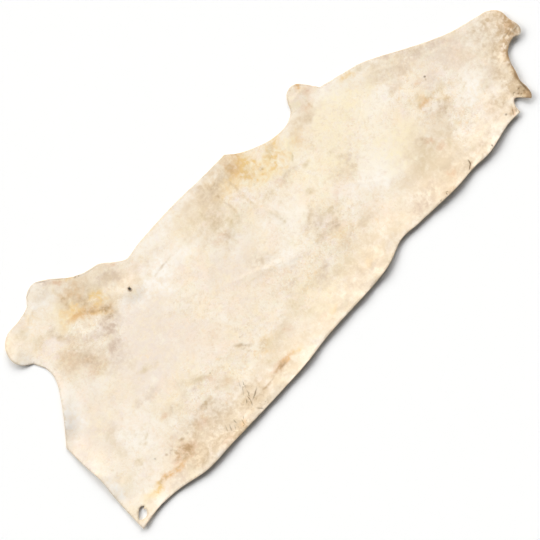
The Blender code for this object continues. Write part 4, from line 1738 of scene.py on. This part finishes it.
@dataclass(frozen=True)
class FleshSide:
    """The flesh side of the same leather, split level by a machine and left unfinished.

    It has a short suede nap in drifting patches, with faint vein marks, and takes light
    softly with a little sheen.

    Attributes:
        colour: the nap where it leans one way.
        shaded: the nap where it leans the other way.
        patch: the size of such a patch, in millimetres.
        nap: between two tufts. Real ones are 0.2 mm apart, and these are drawn coarser.
        nap_depth: in millimetres.
        vein: between two vein marks.
        vein_depth: in millimetres.
        roughness: of the nap.
        sheen: how much the nap catches light at a low angle.
    """

    colour: str = "#E9D5B4"
    shaded: str = "#D6BC95"
    patch: float = 70.0
    nap: float = 1.2
    nap_depth: float = 0.3
    vein: float = 120.0
    vein_depth: float = 1.0
    roughness: float = 0.95
    sheen: float = 0.15

    def material(self) -> bpy.types.Material:
        """Make the finish of the flesh side: nap in two shades over low vein marks.

        Returns:
            The material.
        """
        material, tree, shader, place = start_material("flesh_side_suede")
        colour, shaded = linear_colour(self.colour), linear_colour(self.shaded)
        tufts = None
        for size, low, high, share in ((self.patch, 0.4, 0.65, 0.7), (self.nap, 0.35, 0.7, 0.5)):
            tufts = noise_at(tree, place, size, detail=4.0)
            amount = map_value(tree, tufts, low, high, high=share)
            colour = mix_colours(tree, amount, colour, shaded)
        veins = noise_at(tree, place, self.vein, detail=2.0, distortion=1.5, ridged=True)
        relief = bump(tree, tufts, 0.7, self.nap_depth, bump(tree, veins, 0.3, self.vein_depth))
        tree.links.new(colour, shader.inputs["Base Color"])
        tree.links.new(relief, shader.inputs["Normal"])
        shader.inputs["Roughness"].default_value = self.roughness
        shader.inputs["IOR"].default_value = LEATHER_IOR
        shader.inputs["Sheen Weight"].default_value = self.sheen
        return material


@dataclass(frozen=True)
class LeatherHide:
    """The hide itself: one sheet with a grain face, a flesh side and a raw cut edge.

    Attributes:
        thickness: of the leather, in millimetres.
        grain_spacing: between two points of the grain face.
        flesh_spacing: between two points of the flesh side.
        own_spacing: the least between two points of the creases and small marks.
        rim_rings: each ring's inset and drop from the grain face down the cut, but the last.
        last_drop: the last ring's height over the flesh side.
        flesh_inset: of the flesh side's own ring.
        outline: the cut edge and the holes.
        shape: how the sheet lies.
        masks: where it is marked.
    """

    thickness: float = 2.4
    grain_spacing: float = 5.5
    flesh_spacing: float = 11.0
    own_spacing: float = 1.2
    rim_rings: tuple[tuple[float, float], ...] = ((0.8, 0.0), (0.22, 0.25), (0.0, 0.9))
    last_drop: float = 0.5
    flesh_inset: float = 0.4
    outline: CutOutline = CutOutline()
    shape: LaidShape = LaidShape()
    masks: MarkMasks = MarkMasks()

    def build(self) -> bpy.types.Object:
        """Returns:
            The finished piece.
        """
        loops = self.outline.loops()
        plan, height, triangles, finish, rim = self.surfaces(loops)
        low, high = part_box(CAD_NODE)
        middle = np.array(((low.x + high.x) / 2.0, (low.y + high.y) / 2.0))
        drawn_middle = (loops[0].min(axis=0) + loops[0].max(axis=0)) / 2.0
        vertices = np.column_stack(((plan - drawn_middle) * MM + middle, height * MM + low.z))
        mesh = self.mesh(vertices, triangles, finish)
        self.write_masks(mesh, plan, rim)
        for look in (GrainFace(), CutEdge(), FleshSide()):
            mesh.materials.append(look.material())
        piece = bpy.data.objects.new("leather_hide", mesh)
        bpy.context.scene.collection.objects.link(piece)
        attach(piece, CAD_BODY)
        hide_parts(CAD_NODE)
        return piece

    def surfaces(
        self, loops: list[np.ndarray]
    ) -> tuple[np.ndarray, np.ndarray, np.ndarray, np.ndarray, np.ndarray]:
        """Work out the closed surface: the grain face, the rounded rims and the flesh side.

        Each rim is four strips between five rings. A ring is the loop moved into the leather
        by its inset, at a height that blends the two faces' heights.

        Args:
            loops: the cut edge and the holes, counter-clockwise, in millimetres.

        Returns:
            The points' places in plan, their heights, the triangles, each triangle's number
            of its finish, which is 0 for the grain, 1 for the cut and 2 for the flesh side,
            and which points are on a rim.
        """
        rings = (*self.rim_rings, (0.0, self.thickness - self.last_drop))
        into_leather = [1.0] + [-1.0] * (len(loops) - 1)

        def ring(inset: float) -> list[np.ndarray]:
            """Return every loop moved into the leather."""
            return [
                self.outline.shifted(loop, inset * side)
                for loop, side in zip(loops, into_leather)
            ]

        own = np.vstack((self.shape.own_points(), self.masks.own_points()))
        extra = self.outline_free(own, loops, self.own_spacing)
        grain, grain_faces, grain_rims = self.face(ring(rings[0][0]), extra, self.grain_spacing)
        flesh, flesh_faces, flesh_rims = self.face(
            ring(self.flesh_inset), extra[:0], self.flesh_spacing
        )
        plans, heights = [grain], [self.top(grain)]
        rims = [grain_rims]
        count = len(grain)
        for inset, drop in rings[1:]:
            moved = ring(inset)
            plans.extend(moved)
            heights.extend(self.top(loop) - drop for loop in moved)
            ends = count + np.cumsum([len(loop) for loop in moved])
            rims.append([np.arange(end - len(loop), end) for end, loop in zip(ends, moved)])
            count = int(ends[-1])
        plans.append(flesh)
        heights.append(self.shape.underside(flesh))
        rims.append([rim + count for rim in flesh_rims])

        strips = []
        for upper, lower in zip(rims[:-1], rims[1:]):
            for high, low, side in zip(upper, lower, into_leather):
                strips.append(self.strip(high, low, side > 0.0))
        cut = np.vstack(strips)
        triangles = np.vstack((grain_faces, cut, flesh_faces[:, ::-1] + count))
        finish = np.repeat((0, 1, 2), (len(grain_faces), len(cut), len(flesh_faces)))
        plan = np.vstack(plans)
        rim = np.isin(np.arange(len(plan)), np.unique(cut))
        return plan, np.concatenate(heights), triangles, finish, rim

    def top(self, points: np.ndarray) -> np.ndarray:
        """Return the grain face's height: the lifts, the face's relief and the thickness."""
        return self.shape.lifts(points) + self.shape.face(points) + self.thickness

    def outline_free(
        self, points: np.ndarray, loops: list[np.ndarray], distance: float
    ) -> np.ndarray:
        """Pick the points that lie on the leather, clear of its rims and of one another.

        Args:
            points: places in millimetres, one row each.
            loops: the cut edge and the holes.
            distance: between two points. From the rims it is twice that.

        Returns:
            The points that are left.
        """
        _, first = np.unique(np.floor(points / distance).astype(int), axis=0, return_index=True)
        kept = points[np.sort(first)]
        kept = kept[inside(kept, loops[0])]
        for hole in loops[1:]:
            kept = kept[~inside(kept, hole)]
        return uncrowded(kept, np.vstack(loops), 2.0 * distance)

    def face(
        self, loops: list[np.ndarray], extra: np.ndarray, spacing: float
    ) -> tuple[np.ndarray, np.ndarray, list[np.ndarray]]:
        """Fill the outline with near even triangles.

        Args:
            loops: the outline and its holes, counter-clockwise.
            extra: points that have to be corners of triangles.
            spacing: between two points of the lattice that fills the rest.

        Returns:
            The points, the triangles, and the numbers of each loop's points.
        """
        clear_of_rims, clear_of_extra, tolerance = 0.45 * spacing, 0.3 * spacing, 1e-5
        rims = np.vstack(loops)
        fill = lattice(rims.min(axis=0), rims.max(axis=0), spacing)
        fill = uncrowded(fill, rims, clear_of_rims)
        fill = fill[inside(fill, loops[0])]
        if len(extra):
            fill = uncrowded(fill, extra, clear_of_extra)
        points = np.vstack((rims, extra, fill))
        starts = np.cumsum([0] + [len(loop) for loop in loops])
        rings = [list(range(start, start + len(loop))) for start, loop in zip(starts, loops)]
        placed, _, faces, sources, _, held_by = delaunay_2d_cdt(
            [Vector(point) for point in points.tolist()], [], rings, 0, tolerance, True
        )
        leather_only = [0]
        triangles = np.array([f for f, held in zip(faces, held_by) if held == leather_only])
        number = np.full(len(points), -1)
        for new, old in enumerate(sources):
            number[old] = new
        used, compact = np.unique(triangles, return_inverse=True)
        renumber = np.full(len(placed), -1)
        renumber[used] = np.arange(len(used))
        loops_after = [renumber[number[list(ring)]] for ring in rings]
        flat = np.array([(point.x, point.y) for point in placed])[used]
        return flat, compact.reshape(-1, 3), loops_after

    @staticmethod
    def strip(high: np.ndarray, low: np.ndarray, outer: bool) -> np.ndarray:
        """Join two rings of a rim by triangles that face away from the leather.

        Args:
            high: the numbers of the upper ring's points.
            low: the numbers of the lower ring's points.
            outer: whether it is the cut edge, or else a hole.

        Returns:
            The triangles, one row each.
        """
        after_high, after_low = np.roll(high, -1), np.roll(low, -1)
        first = np.column_stack((low, after_low, after_high))
        second = np.column_stack((low, after_high, high))
        faces = np.vstack((first, second))
        return faces if outer else faces[:, ::-1]

    @staticmethod
    def mesh(
        vertices: np.ndarray, triangles: np.ndarray, finish: np.ndarray
    ) -> bpy.types.Mesh:
        """Make a smooth mesh of triangles, each with the number of its finish.

        Args:
            vertices: the points in metres, one row each.
            triangles: the numbers of each triangle's three points.
            finish: each triangle's material slot.

        Returns:
            The mesh.
        """
        mesh = bpy.data.meshes.new("leather_hide")
        mesh.vertices.add(len(vertices))
        mesh.vertices.foreach_set("co", vertices.astype(np.float32).ravel())
        mesh.loops.add(triangles.size)
        mesh.loops.foreach_set("vertex_index", triangles.astype(np.int32).ravel())
        mesh.polygons.add(len(triangles))
        mesh.polygons.foreach_set("loop_start", np.arange(0, triangles.size, 3, dtype=np.int32))
        mesh.polygons.foreach_set("material_index", finish.astype(np.int32))
        mesh.polygons.foreach_set("use_smooth", np.ones(len(triangles), dtype=bool))
        mesh.update(calc_edges=True)
        mesh.validate()
        return mesh

    def write_masks(self, mesh: bpy.types.Mesh, plan: np.ndarray, rim: np.ndarray) -> None:
        """Write the masks of the tones, the traits and the rim into the mesh.

        Args:
            mesh: the hide's mesh. An attribute has its tone's or trait's name in lower case.
            plan: the points' places in plan, in millimetres.
            rim: which points are on a rim.
        """
        masks = {kind.name.lower(): mask for kind, mask in self.masks.all(plan).items()}
        masks[RIM_MASK] = rim
        for name, mask in masks.items():
            attribute = mesh.attributes.new(name, "FLOAT", "POINT")
            attribute.data.foreach_set("value", mask.astype(np.float32))


@dataclass(frozen=True)
class Studio:
    """The pale floor, the soft light and the camera above.

    Attributes:
        floor_size: the floor's side, in metres.
        floor_drop: the floor's gap under the hide.
        floor_colour: matt white paint.
        floor_roughness: of that paint.
        floor_gloss: the strength of its gloss.
        view_middle: the point under the camera.
        view_width: how much the frame shows across.
        view_turn: the camera's turn about the vertical, in degrees.
        camera_height: above the floor.
        sensor_width: in millimetres, as the lens is.
        sight: how far the camera sees.
        light_bearing: where the window's middle is, in degrees from +Y towards +X.
        light_spread: how far the window's two ends are from its middle, in degrees.
        light_elevation: above the horizon, in degrees.
        light_softness: how high the window is as seen from the hide, in degrees.
        light_power: the window's irradiance.
        light_distance: how far off the lights are placed.
        sky_low: the surroundings' brightness at the horizon.
        sky_high: the surroundings' brightness overhead.
        sky_rise: the upward share of a direction from which it is as bright as overhead.
    """

    floor_size: float = 40.0
    floor_drop: float = 0.0002
    floor_colour: str = "#FBFBFA"
    floor_roughness: float = 0.9
    floor_gloss: float = 0.2
    view_middle: tuple[float, float] = (-0.1296, -0.1414)
    view_width: float = 1.976
    view_turn: float = -48.0
    camera_height: float = 6.0
    sensor_width: float = 36.0
    sight: float = 100.0
    light_bearing: float = 12.0
    light_spread: float = 50.0
    light_elevation: float = 28.0
    light_softness: float = 28.0
    light_power: float = 6.06
    light_distance: float = 5.0
    sky_low: float = 0.42
    sky_high: float = 0.12
    sky_rise: float = 0.35

    def build(self) -> None:
        """Add the floor, the light, the surroundings and the camera to the scene."""
        self.add_floor()
        self.add_light()
        self.add_surroundings()
        self.add_camera()
        LOG.info("studio: floor, window light, surroundings and camera")

    def add_floor(self) -> None:
        """Add a square floor of matt white paint just under the hide."""
        half = self.floor_size / 2.0
        sides = ((-1, -1), (1, -1), (1, 1), (-1, 1))
        corners = [(x * half, y * half, -self.floor_drop) for x, y in sides]
        mesh = bpy.data.meshes.new("floor")
        mesh.from_pydata(corners, [], [(0, 1, 2, 3)])
        material = bpy.data.materials.new("matt_white_paint")
        material.use_nodes = True
        shader = material.node_tree.nodes["Principled BSDF"]
        shader.inputs["Base Color"].default_value = linear_colour(self.floor_colour)
        shader.inputs["Roughness"].default_value = self.floor_roughness
        shader.inputs["Specular IOR Level"].default_value = self.floor_gloss
        mesh.materials.append(material)
        floor = bpy.data.objects.new("floor", mesh)
        bpy.context.scene.collection.objects.link(floor)

    def add_light(self) -> None:
        """Add a long window as five lights side by side, far away, so even, and wide, so soft."""
        parts = (-1.0, -0.5, 0.0, 0.5, 1.0)
        elevation = math.radians(self.light_elevation)
        for part in parts:
            lamp = bpy.data.lights.new("window_light", "SUN")
            lamp.energy = self.light_power / len(parts)
            lamp.angle = math.radians(self.light_softness)
            light = bpy.data.objects.new("window_light", lamp)
            bearing = math.radians(self.light_bearing + part * self.light_spread)
            level = Vector((math.sin(bearing), math.cos(bearing), 0.0))
            towards = level * math.cos(elevation) + Vector((0.0, 0.0, math.sin(elevation)))
            light.rotation_euler = towards.to_track_quat("Z", "Y").to_euler()
            light.location = towards * self.light_distance
            bpy.context.scene.collection.objects.link(light)

    def add_surroundings(self) -> None:
        """Add even white surroundings, bright at the horizon and dimmer overhead."""
        world = bpy.data.worlds.new("studio")
        world.use_nodes = True
        tree = world.node_tree
        direction = add_node(tree, "ShaderNodeTexCoord").outputs["Generated"]
        upward = add_node(tree, "ShaderNodeSeparateXYZ", {0: direction}).outputs["Z"]
        strength = map_value(
            tree, upward, full=self.sky_rise, low=self.sky_low, high=self.sky_high
        )
        background = tree.nodes["Background"]
        background.inputs["Color"].default_value = linear_colour("#FFFFFF")
        tree.links.new(strength, background.inputs["Strength"])
        bpy.context.scene.world = world

    def add_camera(self) -> None:
        """Add the camera, straight above the hide, with the lens that shows view_width."""
        data = bpy.data.cameras.new("camera_above")
        data.sensor_width = self.sensor_width
        data.lens = data.sensor_width * self.camera_height / self.view_width
        data.clip_end = self.sight
        camera = bpy.data.objects.new("camera_above", data)
        camera.location = (*self.view_middle, self.camera_height)
        camera.rotation_euler = (0.0, 0.0, math.radians(self.view_turn))
        bpy.context.scene.collection.objects.link(camera)
        bpy.context.scene.camera = camera


def main() -> None:
    """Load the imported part, dress it, and set up the studio round it."""
    logging.basicConfig(level=logging.INFO, format="%(name)s: %(message)s")
    for old in list(bpy.data.objects):
        bpy.data.objects.remove(old, do_unlink=True)
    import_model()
    LeatherHide().build()
    Studio().build()
    bpy.context.scene.view_settings.view_transform = "Standard"


if __name__ == "__main__":
    main()
